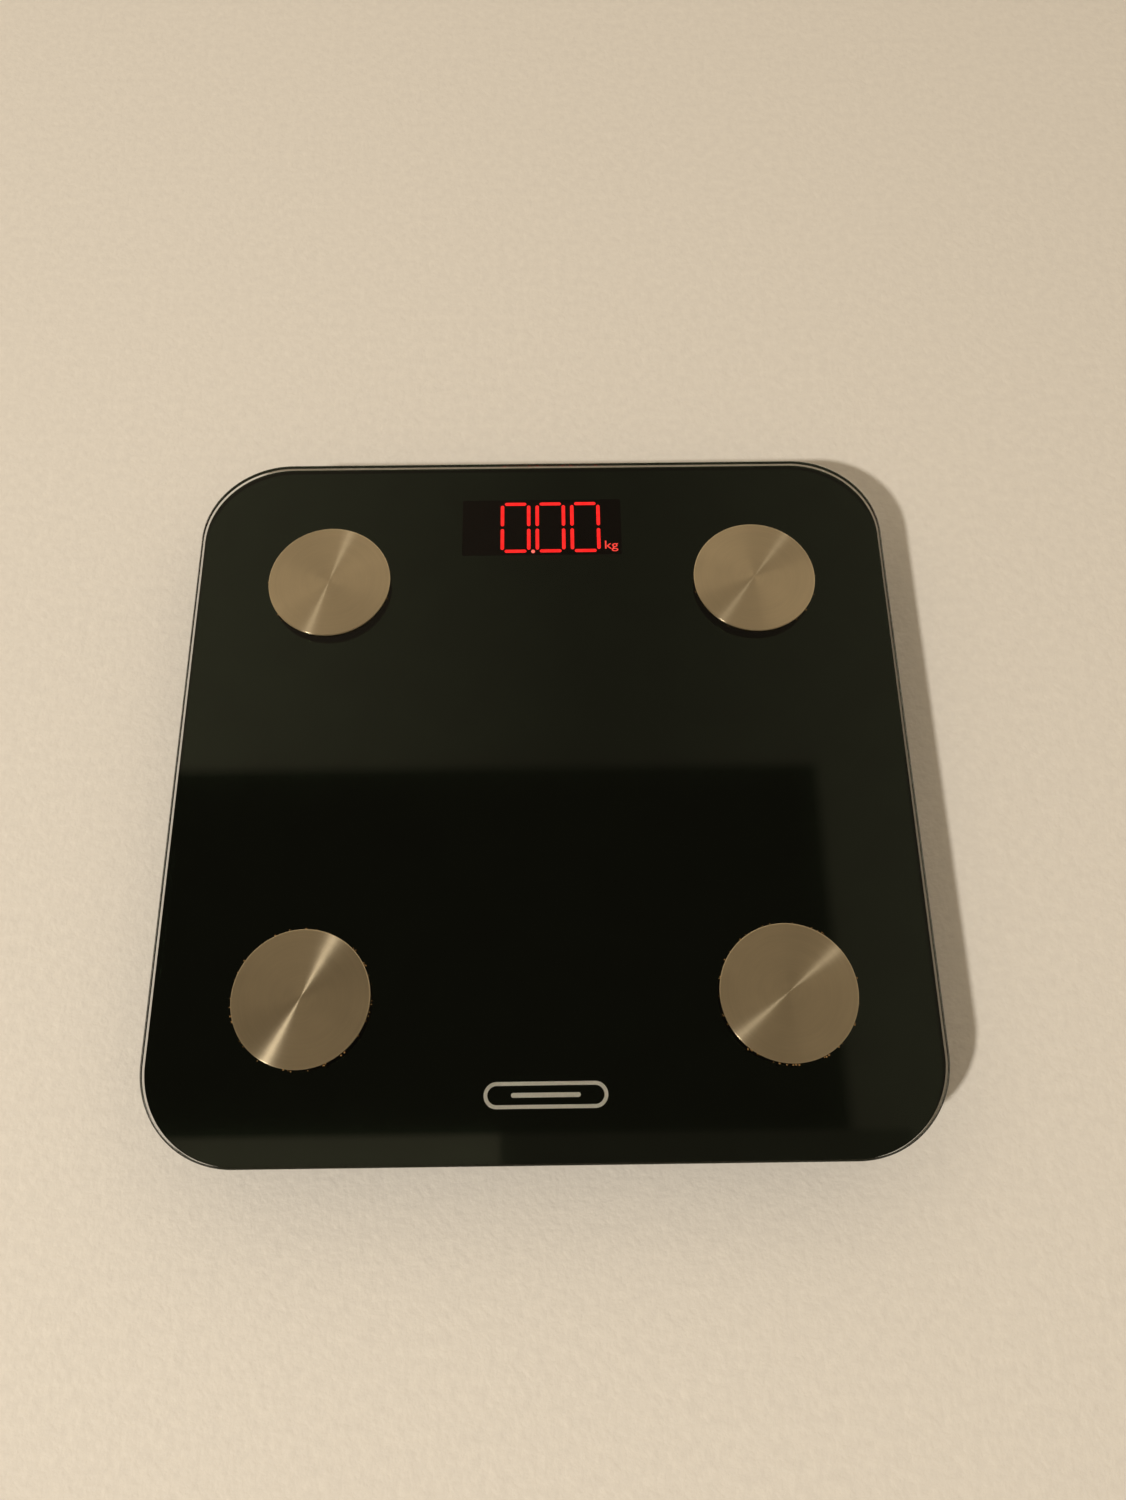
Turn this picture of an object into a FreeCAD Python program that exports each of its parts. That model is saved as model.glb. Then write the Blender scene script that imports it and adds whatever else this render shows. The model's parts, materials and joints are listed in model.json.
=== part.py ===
import FreeCAD, Part
import math
import os

V = FreeCAD.Vector

# A square glass-topped body scale. Millimetres, +Z up, origin on the floor under the middle of the platform.
# +Y points to the display end (the toe end), +X to the user's right.

# ---- driving dimensions -------------------------------------------------------------------------------
# glass platform
platform_side = 280.0
corner_radius = 35.0
glass_thickness = 5.0
glass_chamfer = 0.6

# printed film on the back of the glass, display window and filter
film_thickness = 0.2
film_margin = 0.1
window_width = 66.0
window_height = 26.6
display_inset = 29.9
window_corner = 1.0
filter_thickness = 0.3
filter_overlap = 3.0
filter_corner = 2.0

# electrodes
electrode_diameter = 49.0
electrode_thickness = 0.9
electrode_edge = 0.3
electrode_inset_x = 54.0
electrode_inset_y = 56.5
adhesive_thickness = 0.1
adhesive_width = 19.0
adhesive_margin = 1.0
stud_diameter = 3.0
stud_glass_gap = 0.7
stud_gap = 0.1
washer_diameter = 7.0
washer_thickness = 0.6
terminal_diameter = 6.4
terminal_thickness = 0.5
terminal_reach = 8.0
terminal_neck = 2.4
terminal_barrel = 4.0
terminal_barrel_radius = 1.1
nut_across_flats = 5.5
nut_height = 2.4
stud_end = 0.6

# base tray
tray_inset = 8.0
tray_draft = 3.0
tray_wall = 2.2
tray_floor = 2.4
tray_edge_round = 2.0
rim_width = 5.5
rim_thickness = 1.6
tape_thickness = 0.8
tape_width = 4.5
rib_thickness = 1.2
rib_height = 3.5
rib_columns = (-30.0, 0.0, 30.0)
rib_rows = (-100.0, -60.0, -20.0)
rib_row_reach = 38.0
rib_heel_inset = 20.0
rib_bay_gap = 6.0
root = 0.5
foot_drop = 4.5

# feet and load cells
foot_inset = 37.0
foot_gap = 0.8
foot_flange = 1.2
foot_flange_width = 1.2
foot_edge_round = 1.0
foot_hollow = 5.0
foot_stud_diameter = 8.0
foot_pin_diameter = 3.4
foot_pin_stand = 0.6
foot_wall = 2.2
foot_stud_groove = 1.2
foot_lift_gap = 0.3
foot_relief_width = 3.0
foot_relief_depth = 0.7
pad_margin = 2.0
pad_thickness = 2.0
pad_inset = 0.8
pad_gap = 0.1
pad_edge_round = 0.6
pad_groove = 0.6
pad_groove_width = 1.0
pad_groove_pitch = 3.5
pad_groove_count = 3
cell_side = 30.0
cell_corner = 2.5
cell_thickness = 1.2
cell_frame = 4.0
cell_slot = 1.6
cell_neck = 9.0
cell_slot_corner = 1.5
cell_pin_gap = 0.3
cell_notch_margin = 1.0
cell_seat_height = 2.5
cell_seat_gap = 0.15
cell_seat_lap = 1.6
seat_wall = 2.3
seat_gap = 0.4
gauge_margin = 0.5
gauge_pin_gap = 1.3
gauge_width = 5.0
gauge_height = 0.5
holder_web = 2.4
holder_tube_inset = 2.5
holder_wall = 2.0
holder_recess = 1.6
holder_room = 0.5
ear_radius = 3.6
ear_offset = 3.5
ear_height = 2.6
ear_inset = 0.2
ear_web_start = 2.0

# screws
screw_diameter = 2.2
screw_head_diameter = 5.2
screw_head_height = 1.6
screw_bite = 4.5
screw_tip_gap = 0.3
screw_slot = 0.8
screw_slot_reach = 0.3
screw_slot_depth = 0.8
screw_head_round = 0.5
screw_gap = 0.2

# display module and main board
module_width = 68.0
module_depth = 29.0
module_height = 5.0
module_gap = 0.1
digit_count = 4
digit_pitch = 14.5
digit_width = 12.4
digit_height = 24.1
digit_first_x = -25.4
segment_width = 1.45
segment_gap = 0.35
segment_depth = 0.6
point_diameter = 2.2
unit_lamp_width = 5.6
unit_lamp_height = 4.6
pin_diameter = 0.5
pin_count = 12
pin_tail = 0.8
pin_row = 12.5
board_width = 96.0
board_front = 22.1
board_back = 15.9
board_thickness = 1.6
board_boss_radius = 3.0
board_screw_inset = 4.0
board_screw_front = 12.0
pin_margin = 6.0
chip_side = 10.0
chip_x = -18.0
chip_height = 1.4
chip_standoff = 0.2
chip_leg_count = 8
chip_leg_pitch = 1.1
chip_leg_reach = 6.4
chip_leg_width = 0.4
radio_x = 6.0
radio_width = 12.0
radio_depth = 16.0
radio_board = 0.8
radio_can = 1.6
crystal_x = -4.5
crystal_width = 3.8
crystal_depth = 9.2
crystal_corner = 1.8
crystal_height = 3.0
capacitor_inset = 7.0
capacitor_radius = 2.5
capacitor_height = 4.4
capacitor_places = (19.0, 27.0)

# unit button
button_x = 34.0
button_back = 12.1
button_diameter = 9.0
button_gap = 0.3
button_flange_width = 1.1
button_flange = 0.8
button_sink = 0.2
button_travel = 0.5
button_edge_round = 0.6
button_dish_radius = 9.0
button_dish_depth = 0.4
button_guard_radius = 8.4
button_guard_height = 1.0
button_guard_gap = 0.4
plunger_diameter = 3.4
plunger_gap = 0.3
plunger_length = 1.6
switch_side = 6.0
switch_gap = 0.3
switch_bore_gap = 0.2
switch_leg = 0.8
switch_leg_width = 0.7
switch_leg_height = 1.2
switch_leg_y = 2.2

# battery bay
battery_diameter = 10.5
battery_length = 43.7
battery_nub = 0.8
battery_nub_diameter = 3.6
battery_edge_round = 0.8
battery_count = 3
battery_pitch = 11.1
battery_gap = 0.3
bay_y = 30.0
bay_wall = 1.5
bay_roof = 1.1
bay_slack = 0.35
contact_thickness = 0.4
contact_height = 8.0
tag_reach = 1.5
tag_width = 2.6
tag_gap = 0.3
tag_room = 0.9
spring_length = 4.5
spring_wire = 0.6
spring_turns = 3.5
spring_radius = 3.0
spring_taper = 0.7
spring_steps_each_turn = 8
door_lap = 3.0
door_thickness = 1.4
door_gap = 0.3
door_seat_gap = 0.2
tab_width = 6.0
tab_length = 2.0
tab_spread = 34.0
latch_width = 12.0
latch_slit = 0.8
latch_length = 9.0
latch_lip = 0.4
latch_lip_low = 0.7
latch_groove_count = 5
latch_groove_pitch = 1.5
latch_groove_start = 2.0
latch_groove_width = 0.8
latch_groove_depth = 0.4
latch_groove_margin = 1.5
scoop_radius = 7.0
scoop_width = 16.0
scoop_offset = 2.5
scoop_depth = 1.6

# leads
cell_core = 1.0
cell_core_pitch = 1.25
lead_diameter = 1.2
lead_floor_gap = 0.05
header_height = 4.6
header_depth = 6.0
low_header_height = 2.6
low_header_width = 30.0
low_header_front = 0.5
electrode_header_x = (36.5, 46.0)
electrode_header_front = 1.0

# ---- levels, from the floor up ------------------------------------------------------------------------
z_under = foot_drop
z_floor = z_under + tray_floor
z_door_top = z_under + door_thickness
z_battery = z_floor - battery_gap + battery_diameter / 2
z_bay_roof = z_battery + battery_diameter / 2 + battery_gap
z_film = z_bay_roof + bay_roof + battery_gap
z_rim = z_film - tape_thickness
z_glass = z_film + film_thickness
z_glass_top = z_glass + glass_thickness
z_disc = z_glass_top + adhesive_thickness
z_cell = z_floor + cell_seat_height
z_cell_top = z_cell + cell_thickness
z_web_top = z_cell_top + holder_web
z_foot = pad_thickness - pad_inset
z_flange = z_floor + foot_lift_gap
z_filter = z_film - filter_thickness
z_module_top = z_filter - module_gap
z_board_top = z_module_top - module_height
z_board = z_board_top - board_thickness
z_washer = z_film - washer_thickness
z_terminal = z_washer - terminal_thickness
z_nut = z_terminal - nut_height

# ---- places in plan -----------------------------------------------------------------------------------
half = platform_side / 2
tray_half = half - tray_inset
tray_corner = corner_radius - tray_inset
rim_half = tray_half - rim_width
foot_x = half - foot_inset
foot_y = half - foot_inset
electrode_x = half - electrode_inset_x
electrode_y = half - electrode_inset_y
display_y = half - display_inset
board_y0 = display_y - board_front
board_y1 = display_y + board_back
cell_opening = cell_side / 2 - cell_frame
cell_reach = cell_side / math.sqrt(2) - cell_corner * (math.sqrt(2) - 1)
seat_inner = cell_reach - cell_seat_lap
seat_outer = cell_reach + seat_wall
flange_radius = seat_inner - seat_gap
foot_radius = flange_radius - foot_flange_width
pad_radius = foot_radius - pad_margin
ear_reach = seat_outer + ear_offset
gauge_x = foot_x - cell_opening + gauge_margin
gauge_length = cell_opening - gauge_margin - foot_pin_diameter / 2 - gauge_pin_gap
bay_half_x = (battery_length + battery_nub + spring_length) / 2 + contact_thickness + bay_slack
bay_half_y = battery_pitch * (battery_count - 1) / 2 + battery_diameter / 2 + bay_slack
door_half_x = bay_half_x + door_lap
door_half_y = bay_half_y + door_lap
hinge_y = bay_y - door_half_y + door_thickness / 2
hinge_z = z_under + door_thickness / 2
button_y = display_y - button_back
lead_channel = 1.5 * cell_core_pitch + cell_core
cell_lead_z = z_floor + cell_core / 2 + lead_floor_gap
header_entry_z = z_board - low_header_height / 2
electrode_lead_z = z_washer - terminal_thickness - lead_diameter / 2
battery_lead_z = z_board_top + lead_diameter / 2 + lead_floor_gap

corners = {
    "toe_left": (-1, 1),
    "toe_right": (1, 1),
    "heel_left": (-1, -1),
    "heel_right": (1, -1),
}


# ---- shape helpers ------------------------------------------------------------------------------------
def box(x0, x1, y0, y1, z0, z1):
    """A block between two corners."""
    return Part.makeBox(x1 - x0, y1 - y0, z1 - z0, V(x0, y0, z0))


def rod(x, y, z0, z1, radius):
    """An upright cylinder."""
    return Part.makeCylinder(radius, z1 - z0, V(x, y, z0))


def ring(x, y, z0, z1, outer, inner):
    """An upright tube."""
    return rod(x, y, z0, z1, outer).cut(rod(x, y, z0 - 1, z1 + 1, inner))


def rounded_wire(cx, cy, hx, hy, radius, z):
    """The outline of a rectangle with round corners, at height z."""
    edges = []
    centres = [(hx - radius, hy - radius, 0), (radius - hx, hy - radius, 90)]
    centres += [(radius - hx, radius - hy, 180), (hx - radius, radius - hy, 270)]
    ends = []
    for x, y, start in centres:
        points = []
        for turn in (0, 45, 90):
            angle = math.radians(start + turn)
            points.append(V(cx + x + radius * math.cos(angle), cy + y + radius * math.sin(angle), z))
        ends.append(points)
    for index, points in enumerate(ends):
        edges.append(Part.Arc(*points).toShape())
        following = ends[(index + 1) % 4][0]
        edges.append(Part.LineSegment(points[2], following).toShape())
    return Part.Wire(edges)


def rounded_block(cx, cy, hx, hy, radius, z0, z1):
    """An upright block with round corners."""
    face = Part.Face(rounded_wire(cx, cy, hx, hy, radius, z0))
    return face.extrude(V(0, 0, z1 - z0))


def drafted_block(low_half, high_half, low_radius, high_radius, z0, z1):
    """A square block about the middle whose sides lean, between two rounded outlines."""
    low = rounded_wire(0, 0, low_half, low_half, low_radius, z0)
    high = rounded_wire(0, 0, high_half, high_half, high_radius, z1)
    return Part.makeLoft([low, high], True, True)


def edges_at(shape, z):
    """The edges of a shape that lie whole at height z."""
    return [e for e in shape.Edges if abs(e.BoundBox.ZMin - z) < 1e-4 and abs(e.BoundBox.ZMax - z) < 1e-4]


def to_corner(shape, corner):
    """Mirrors a piece made for the toe-right corner into the named corner."""
    side, end = corners[corner]
    if side < 0:
        shape = shape.mirror(V(0, 0, 0), V(1, 0, 0))
    if end < 0:
        shape = shape.mirror(V(0, 0, 0), V(0, 1, 0))
    return shape


def join(shapes):
    """One solid made of pieces that touch or overlap."""
    whole = shapes[0].fuse(shapes[1:]) if len(shapes) > 1 else shapes[0]
    return whole.removeSplitter()


def screw(x, y, z_head):
    """A pan-head screw with a cross slot, its head's underside at z_head and its shank pointing down."""
    head = rod(x, y, z_head, z_head + screw_head_height, screw_head_diameter / 2)
    top = z_head + screw_head_height
    head = head.makeFillet(screw_head_round, edges_at(head, top))
    long, wide = screw_head_diameter * screw_slot_reach, screw_slot / 2
    low = top - screw_slot_depth
    head = head.cut(box(x - long, x + long, y - wide, y + wide, low, top + 1))
    head = head.cut(box(x - wide, x + wide, y - long, y + long, low, top + 1))
    return join([head, rod(x, y, z_head - screw_bite, z_head, screw_diameter / 2)])


def pilot_hole(x, y, z_head):
    """The hole that a screw's shank bites into, a little deeper than the screw."""
    return rod(x, y, z_head - screw_bite - screw_tip_gap, z_head, screw_diameter / 2)


def route_wire(points):
    """Straight runs joined by tangent arcs; each arc takes 0.45 of the shorter of its two runs."""
    points = [V(*p) for p in points]
    edges = []
    start = points[0]
    for before, corner, after in zip(points, points[1:], points[2:]):
        back = (before - corner)
        ahead = (after - corner)
        trim = 0.45 * min(back.Length, ahead.Length)
        back.normalize()
        ahead.normalize()
        turn = math.pi - back.getAngle(ahead)
        radius = trim / math.tan(turn / 2)
        middle = back + ahead
        middle.normalize()
        entry = corner + back * trim
        leave = corner + ahead * trim
        crown = corner + middle * (radius / math.cos(turn / 2) - radius)
        edges.append(Part.LineSegment(start, entry).toShape())
        edges.append(Part.Arc(entry, crown, leave).toShape())
        start = leave
    edges.append(Part.LineSegment(start, points[-1]).toShape())
    return Part.Wire(edges)


def lead(points, diameter):
    """A round lead along a route of straight runs and tangent arcs."""
    path = route_wire(points)
    first = V(*points[0])
    heading = V(*points[1]) - first
    section = Part.Wire(Part.makeCircle(diameter / 2, first, heading))
    solid = path.makePipeShell([section], True, False)
    expected = math.pi * diameter ** 2 / 4 * path.Length
    if abs(solid.Volume / expected - 1) > 0.02:
        print("lead volume off by", round(solid.Volume / expected - 1, 4))
    return solid


def beside(points, offset):
    """The route moved sideways in plan by offset, mitred at its corners."""
    moved = []
    for index, (x, y, z) in enumerate(points):
        normals = []
        for a, b in ((index - 1, index), (index, index + 1)):
            if a < 0 or b >= len(points):
                continue
            dx, dy = points[b][0] - points[a][0], points[b][1] - points[a][1]
            size = math.hypot(dx, dy)
            normals.append((-dy / size, dx / size))
        nx = sum(n[0] for n in normals) / len(normals)
        ny = sum(n[1] for n in normals) / len(normals)
        scale = offset / (nx * nx + ny * ny)
        moved.append((x + nx * scale, y + ny * scale, z))
    return moved


# ---- glass, film, filter ------------------------------------------------------------------------------
def electrode_places():
    return [(side * electrode_x, end * electrode_y) for side, end in corners.values()]


def glass_platform():
    slab = rounded_block(0, 0, half, half, corner_radius, z_glass, z_glass_top)
    slab = slab.makeChamfer(glass_chamfer, edges_at(slab, z_glass) + edges_at(slab, z_glass_top))
    for x, y in electrode_places():
        slab = slab.cut(rod(x, y, z_glass - 1, z_glass_top + 1, stud_diameter / 2 + stud_glass_gap))
    return slab


def backing_film():
    margin = glass_chamfer + film_margin
    size = half - margin
    film = rounded_block(0, 0, size, size, corner_radius - margin, z_film, z_glass)
    film = film.cut(rounded_block(0, display_y, window_width / 2, window_height / 2, window_corner,
                                  z_film - 1, z_glass + 1))
    for x, y in electrode_places():
        film = film.cut(rod(x, y, z_film - 1, z_glass + 1, stud_diameter / 2 + stud_glass_gap))
    return film


def display_filter():
    hx = window_width / 2 + filter_overlap
    hy = window_height / 2 + filter_overlap
    return rounded_block(0, display_y, hx, hy, filter_corner, z_filter, z_film)


def foam_tape():
    outer = rim_half + tape_width
    size = outer - (tray_half - tray_corner)
    whole = rounded_block(0, 0, outer, outer, size, z_rim, z_film)
    inner = rounded_block(0, 0, rim_half, rim_half, size - tape_width, z_rim - 1, z_film + 1)
    return whole.cut(inner)


# ---- electrodes ---------------------------------------------------------------------------------------
def electrode():
    disc = rod(electrode_x, electrode_y, z_disc, z_disc + electrode_thickness, electrode_diameter / 2)
    disc = disc.makeFillet(electrode_edge, edges_at(disc, z_disc + electrode_thickness))
    stud = rod(electrode_x, electrode_y, z_nut - stud_end, z_disc, stud_diameter / 2)
    return join([disc, stud])


def adhesive_ring():
    outer = electrode_diameter / 2 - adhesive_margin
    return ring(electrode_x, electrode_y, z_glass_top, z_disc, outer, outer - adhesive_width)


def washer():
    return ring(electrode_x, electrode_y, z_washer, z_film, washer_diameter / 2, stud_diameter / 2 + stud_gap)


def terminal():
    eye = rod(electrode_x, electrode_y, z_terminal, z_washer, terminal_diameter / 2)
    barrel_start = electrode_x - terminal_reach
    side = terminal_neck / 2
    neck = box(barrel_start + terminal_barrel - 1, electrode_x, electrode_y - side, electrode_y + side,
               z_terminal, z_washer)
    barrel = Part.makeCylinder(terminal_barrel_radius, terminal_barrel,
                               V(barrel_start, electrode_y, electrode_lead_z), V(1, 0, 0))
    whole = join([eye, neck, barrel])
    bore = stud_diameter / 2 + stud_gap
    return whole.cut(rod(electrode_x, electrode_y, z_terminal - 1, z_washer + 1, bore))


def nut():
    points = []
    for step in range(7):
        angle = math.radians(60 * step)
        size = nut_across_flats / 2 / math.cos(math.pi / 6)
        points.append(V(electrode_x + size * math.cos(angle), electrode_y + size * math.sin(angle), z_nut))
    prism = Part.Face(Part.makePolygon(points)).extrude(V(0, 0, nut_height))
    return prism.cut(rod(electrode_x, electrode_y, z_nut - 1, z_terminal + 1, stud_diameter / 2))


# ---- feet and load cells, made for the toe-right corner -----------------------------------------------
def foot():
    body = rod(foot_x, foot_y, z_foot, z_flange, foot_radius)
    body = body.makeFillet(foot_edge_round, edges_at(body, z_foot))
    flange = rod(foot_x, foot_y, z_flange, z_flange + foot_flange, flange_radius)
    stud = rod(foot_x, foot_y, z_flange, z_cell, foot_stud_diameter / 2)
    pin = rod(foot_x, foot_y, z_cell, z_cell_top + foot_pin_stand, foot_pin_diameter / 2)
    whole = join([body, flange, stud, pin])
    hollow_top = z_flange + foot_flange
    hollow = ring(foot_x, foot_y, hollow_top - foot_hollow, hollow_top + 1, foot_radius - foot_wall,
                  foot_stud_diameter / 2 + foot_stud_groove)
    return whole.cut(hollow).cut(rod(foot_x, foot_y, z_foot - 1, z_foot + pad_inset, pad_radius + pad_gap))


def foot_pad():
    pad = rod(foot_x, foot_y, 0, pad_thickness, pad_radius)
    pad = pad.makeFillet(pad_edge_round, edges_at(pad, 0))
    for step in range(1, pad_groove_count + 1):
        inner = pad_radius - pad_groove_pitch * step
        pad = pad.cut(ring(foot_x, foot_y, -1, pad_groove, inner + pad_groove_width, inner))
    return pad


def load_cell():
    plate = rounded_block(foot_x, foot_y, cell_side / 2, cell_side / 2, cell_corner, z_cell, z_cell_top)
    reach = cell_opening
    low, high = z_cell - 1, z_cell_top + 1
    slot = rounded_block(foot_x, foot_y, reach, reach, cell_slot_corner, low, high)
    tongue = box(foot_x - reach - 1, foot_x + reach - cell_slot, foot_y - reach + cell_slot,
                 foot_y + reach - cell_slot, low, high)
    notch_end = foot_x - reach + gauge_length + cell_notch_margin
    for side in (-1, 1):
        inner, outer = side * cell_neck / 2, side * (reach + 1)
        y0, y1 = sorted((foot_y + inner, foot_y + outer))
        tongue = tongue.cut(box(foot_x - reach - 2, notch_end, y0, y1, low - 1, high + 1))
    plate = plate.cut(slot.cut(tongue))
    return plate.cut(rod(foot_x, foot_y, low, high, foot_pin_diameter / 2 + cell_pin_gap))


def strain_gauge():
    side = gauge_width / 2
    return box(gauge_x, gauge_x + gauge_length, foot_y - side, foot_y + side, z_cell_top,
               z_cell_top + gauge_height)


def ear_places():
    """Screw places beside a cell holder, on the diagonal that runs along the platform's corner."""
    reach = ear_reach / math.sqrt(2)
    return [(foot_x - reach, foot_y + reach), (foot_x + reach, foot_y - reach)]


def ear(x, y, z0, z1, radius):
    """A screw ear and the web that ties it to the round part beside it."""
    pad = rod(x, y, z0, z1, radius)
    length = math.hypot(x - foot_x, y - foot_y)
    web = box(foot_x + seat_outer - ear_web_start, foot_x + length, foot_y - radius, foot_y + radius, z0, z1)
    angle = math.degrees(math.atan2(y - foot_y, x - foot_x))
    web.rotate(V(foot_x, foot_y, 0), V(0, 0, 1), angle)
    return [pad, web]


def cell_holder():
    parts = [rod(foot_x, foot_y, z_cell, z_web_top, seat_outer)]
    tube_outer = seat_outer - holder_tube_inset
    parts.append(ring(foot_x, foot_y, z_web_top, z_film, tube_outer, tube_outer - holder_wall))
    for x, y in ear_places():
        parts += ear(x, y, z_cell, z_cell + ear_height, ear_radius)
    half_rib = holder_wall / 2
    long = tube_outer - 1
    parts.append(box(foot_x - long, foot_x + long, foot_y - half_rib, foot_y + half_rib, z_web_top, z_film))
    parts.append(box(foot_x - half_rib, foot_x + half_rib, foot_y - long, foot_y + long, z_web_top, z_film))
    whole = join(parts)
    seat = cell_side / 2 + cell_seat_gap
    whole = whole.cut(rounded_block(foot_x, foot_y, seat, seat, cell_corner, z_cell - 1, z_cell_top))
    room = cell_opening + holder_room
    whole = whole.cut(box(foot_x - room, foot_x + room, foot_y - room, foot_y + room, z_cell_top - 1,
                          z_cell_top + holder_recess))
    whole = whole.cut(box(foot_x - seat_outer - 1, foot_x - room + 1, foot_y - lead_channel,
                          foot_y + lead_channel, z_cell - 1, z_cell_top + holder_recess))
    for x, y in ear_places():
        whole = whole.cut(rod(x, y, z_cell - 1, z_film, screw_diameter / 2 + screw_gap))
    return whole


def holder_screws():
    return [screw(x, y, z_cell + ear_height) for x, y in ear_places()]


# ---- base tray ----------------------------------------------------------------------------------------
def board_screw_places():
    x = board_width / 2 - board_screw_inset
    return [(side * x, y) for side in (-1, 1)
            for y in (board_y0 + board_screw_front, board_y1 - board_screw_inset)]


def tray_corner_features():
    """Seat ring and screw bosses round one foot."""
    seat = ring(foot_x, foot_y, z_floor - root, z_cell, seat_outer, seat_inner)
    seat = seat.cut(box(foot_x - seat_outer - 1, foot_x, foot_y - lead_channel, foot_y + lead_channel,
                        z_floor, z_cell + 1))
    parts = [seat]
    for x, y in ear_places():
        parts += ear(x, y, z_floor - root, z_cell, ear_radius - ear_inset)
    return parts


def battery_bay():
    """The box round the cells, open at the bottom."""
    outer = box(-bay_half_x - bay_wall, bay_half_x + bay_wall, bay_y - bay_half_y - bay_wall,
                bay_y + bay_half_y + bay_wall, z_floor - root, z_bay_roof + bay_roof)
    return outer


def door_recess():
    """What the tray leaves free for the door, its tabs and its latch lip."""
    gap = door_gap
    x, y = door_half_x + gap, door_half_y + gap
    cuts = [box(-x, x, bay_y - y, bay_y + y, z_under - 1, z_door_top + door_seat_gap)]
    cuts.append(box(-bay_half_x, bay_half_x, bay_y - bay_half_y, bay_y + bay_half_y, z_under - 1, z_bay_roof))
    for side in (-1, 1):
        middle = side * tab_spread / 2
        reach = hinge_y - door_thickness / 2 - tab_length - 2 * gap
        wide = tab_width / 2 + gap
        cuts.append(box(middle - wide, middle + wide, reach, bay_y - y + 2.5, hinge_z - 0.45, z_floor + 1))
    lip = latch_width / 2 + gap
    cuts.append(box(-lip, lip, bay_y + y - 1, bay_y + y + latch_lip + gap, z_under + 0.4, z_door_top + 0.5))
    start = V(-scoop_width / 2, bay_y + y + scoop_offset, z_under - scoop_radius + scoop_depth)
    cuts.append(Part.makeCylinder(scoop_radius, scoop_width, start, V(1, 0, 0)))
    return cuts


def base_tray():
    low_corner = tray_corner - tray_draft
    body = drafted_block(tray_half - tray_draft, tray_half, low_corner, tray_corner, z_under, z_rim)
    body = body.makeFillet(tray_edge_round, edges_at(body, z_under))
    top = z_rim - rim_thickness
    slope = tray_draft / (z_rim - z_under)
    low_in = tray_half - tray_draft + slope * tray_floor - tray_wall
    high_in = tray_half - slope * rim_thickness - tray_wall
    shift = tray_half - tray_corner
    body = body.cut(drafted_block(low_in, high_in, low_in - shift, high_in - shift, z_floor, top))
    body = body.cut(rounded_block(0, 0, rim_half, rim_half, rim_half - shift, top - 0.5, z_rim + 1))
    added = [battery_bay()]
    for corner in corners:
        added += [to_corner(piece, corner) for piece in tray_corner_features()]
    for x, y in board_screw_places():
        added.append(rod(x, y, z_floor - root, z_board, board_boss_radius))
    guard = button_diameter / 2 + button_flange_width + button_guard_gap
    added.append(ring(button_x, button_y, z_floor - root, z_floor + button_guard_height, button_guard_radius,
                      guard))
    rib_top = z_floor + rib_height
    rib_end = bay_y - bay_half_y - rib_bay_gap
    side = rib_thickness / 2
    for x in rib_columns:
        added.append(box(x - side, x + side, rib_heel_inset - half, rib_end, z_floor - root, rib_top))
    for y in rib_rows:
        added.append(box(-rib_row_reach, rib_row_reach, y - side, y + side, z_floor - root, rib_top))
    body = join([body] + added)
    for cutter in door_recess():
        body = body.cut(cutter)
    for side in (-1, 1):
        for end in (-1, 1):
            x, y = side * foot_x, end * foot_y
            body = body.cut(rod(x, y, z_under - 1, z_floor + 1, foot_radius + foot_gap))
            body = body.cut(rod(x, y, z_floor, z_floor + 1, seat_inner))
            relief = foot_radius + foot_relief_width
            body = body.cut(rod(x, y, z_under - 1, z_under + foot_relief_depth, relief))
    for x, y in ear_places():
        for corner in corners:
            body = body.cut(to_corner(pilot_hole(x, y, z_cell + ear_height), corner))
    for x, y in board_screw_places():
        body = body.cut(pilot_hole(x, y, z_board_top))
    body = body.cut(rod(button_x, button_y, z_under - 1, z_floor + 1, button_diameter / 2 + button_gap))
    for x_end, y in contact_tags():
        side = tag_width / 2 + tag_gap
        body = body.cut(box(min(0, x_end), max(0, x_end), y - side, y + side, battery_lead_z - tag_room,
                            battery_lead_z + tag_room))
    return body


# ---- battery bay contents -----------------------------------------------------------------------------
def cell_rows():
    """Each cell's y and the side its plus end points to, from the toe end down."""
    rows = []
    for index in range(battery_count):
        y = bay_y + battery_pitch * ((battery_count - 1) / 2 - index)
        rows.append((y, 1 if index % 2 == 0 else -1))
    return rows


def battery_cell(y, plus):
    start = -bay_half_x + contact_thickness + bay_slack / 2 + spring_length
    can = Part.makeCylinder(battery_diameter / 2, battery_length, V(start, y, z_battery), V(1, 0, 0))
    can = can.makeFillet(battery_edge_round, [e for e in can.Edges if e.BoundBox.XLength < 1e-6])
    nub = Part.makeCylinder(battery_nub_diameter / 2, battery_nub, V(start + battery_length, y, z_battery),
                            V(1, 0, 0))
    cell = join([can, nub])
    if plus < 0:
        cell = cell.mirror(V(0, 0, 0), V(1, 0, 0))
    return cell


def contact_spring(y, plus):
    """A conical coil at the minus end, from its plate to the can: short runs round a cone, joined by arcs."""
    x0 = -bay_half_x + contact_thickness + bay_slack / 2 + spring_wire / 2
    free = spring_length - spring_wire
    steps = int(spring_turns * spring_steps_each_turn)
    points = []
    for step in range(steps + 1):
        along = step / steps
        angle = 2 * math.pi * step / spring_steps_each_turn
        radius = spring_radius - spring_taper * along
        points.append((x0 + free * along, y + radius * math.cos(angle), z_battery + radius * math.sin(angle)))
    coil = lead(points, spring_wire)
    if plus < 0:
        coil = coil.mirror(V(0, 0, 0), V(1, 0, 0))
    return coil


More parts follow.
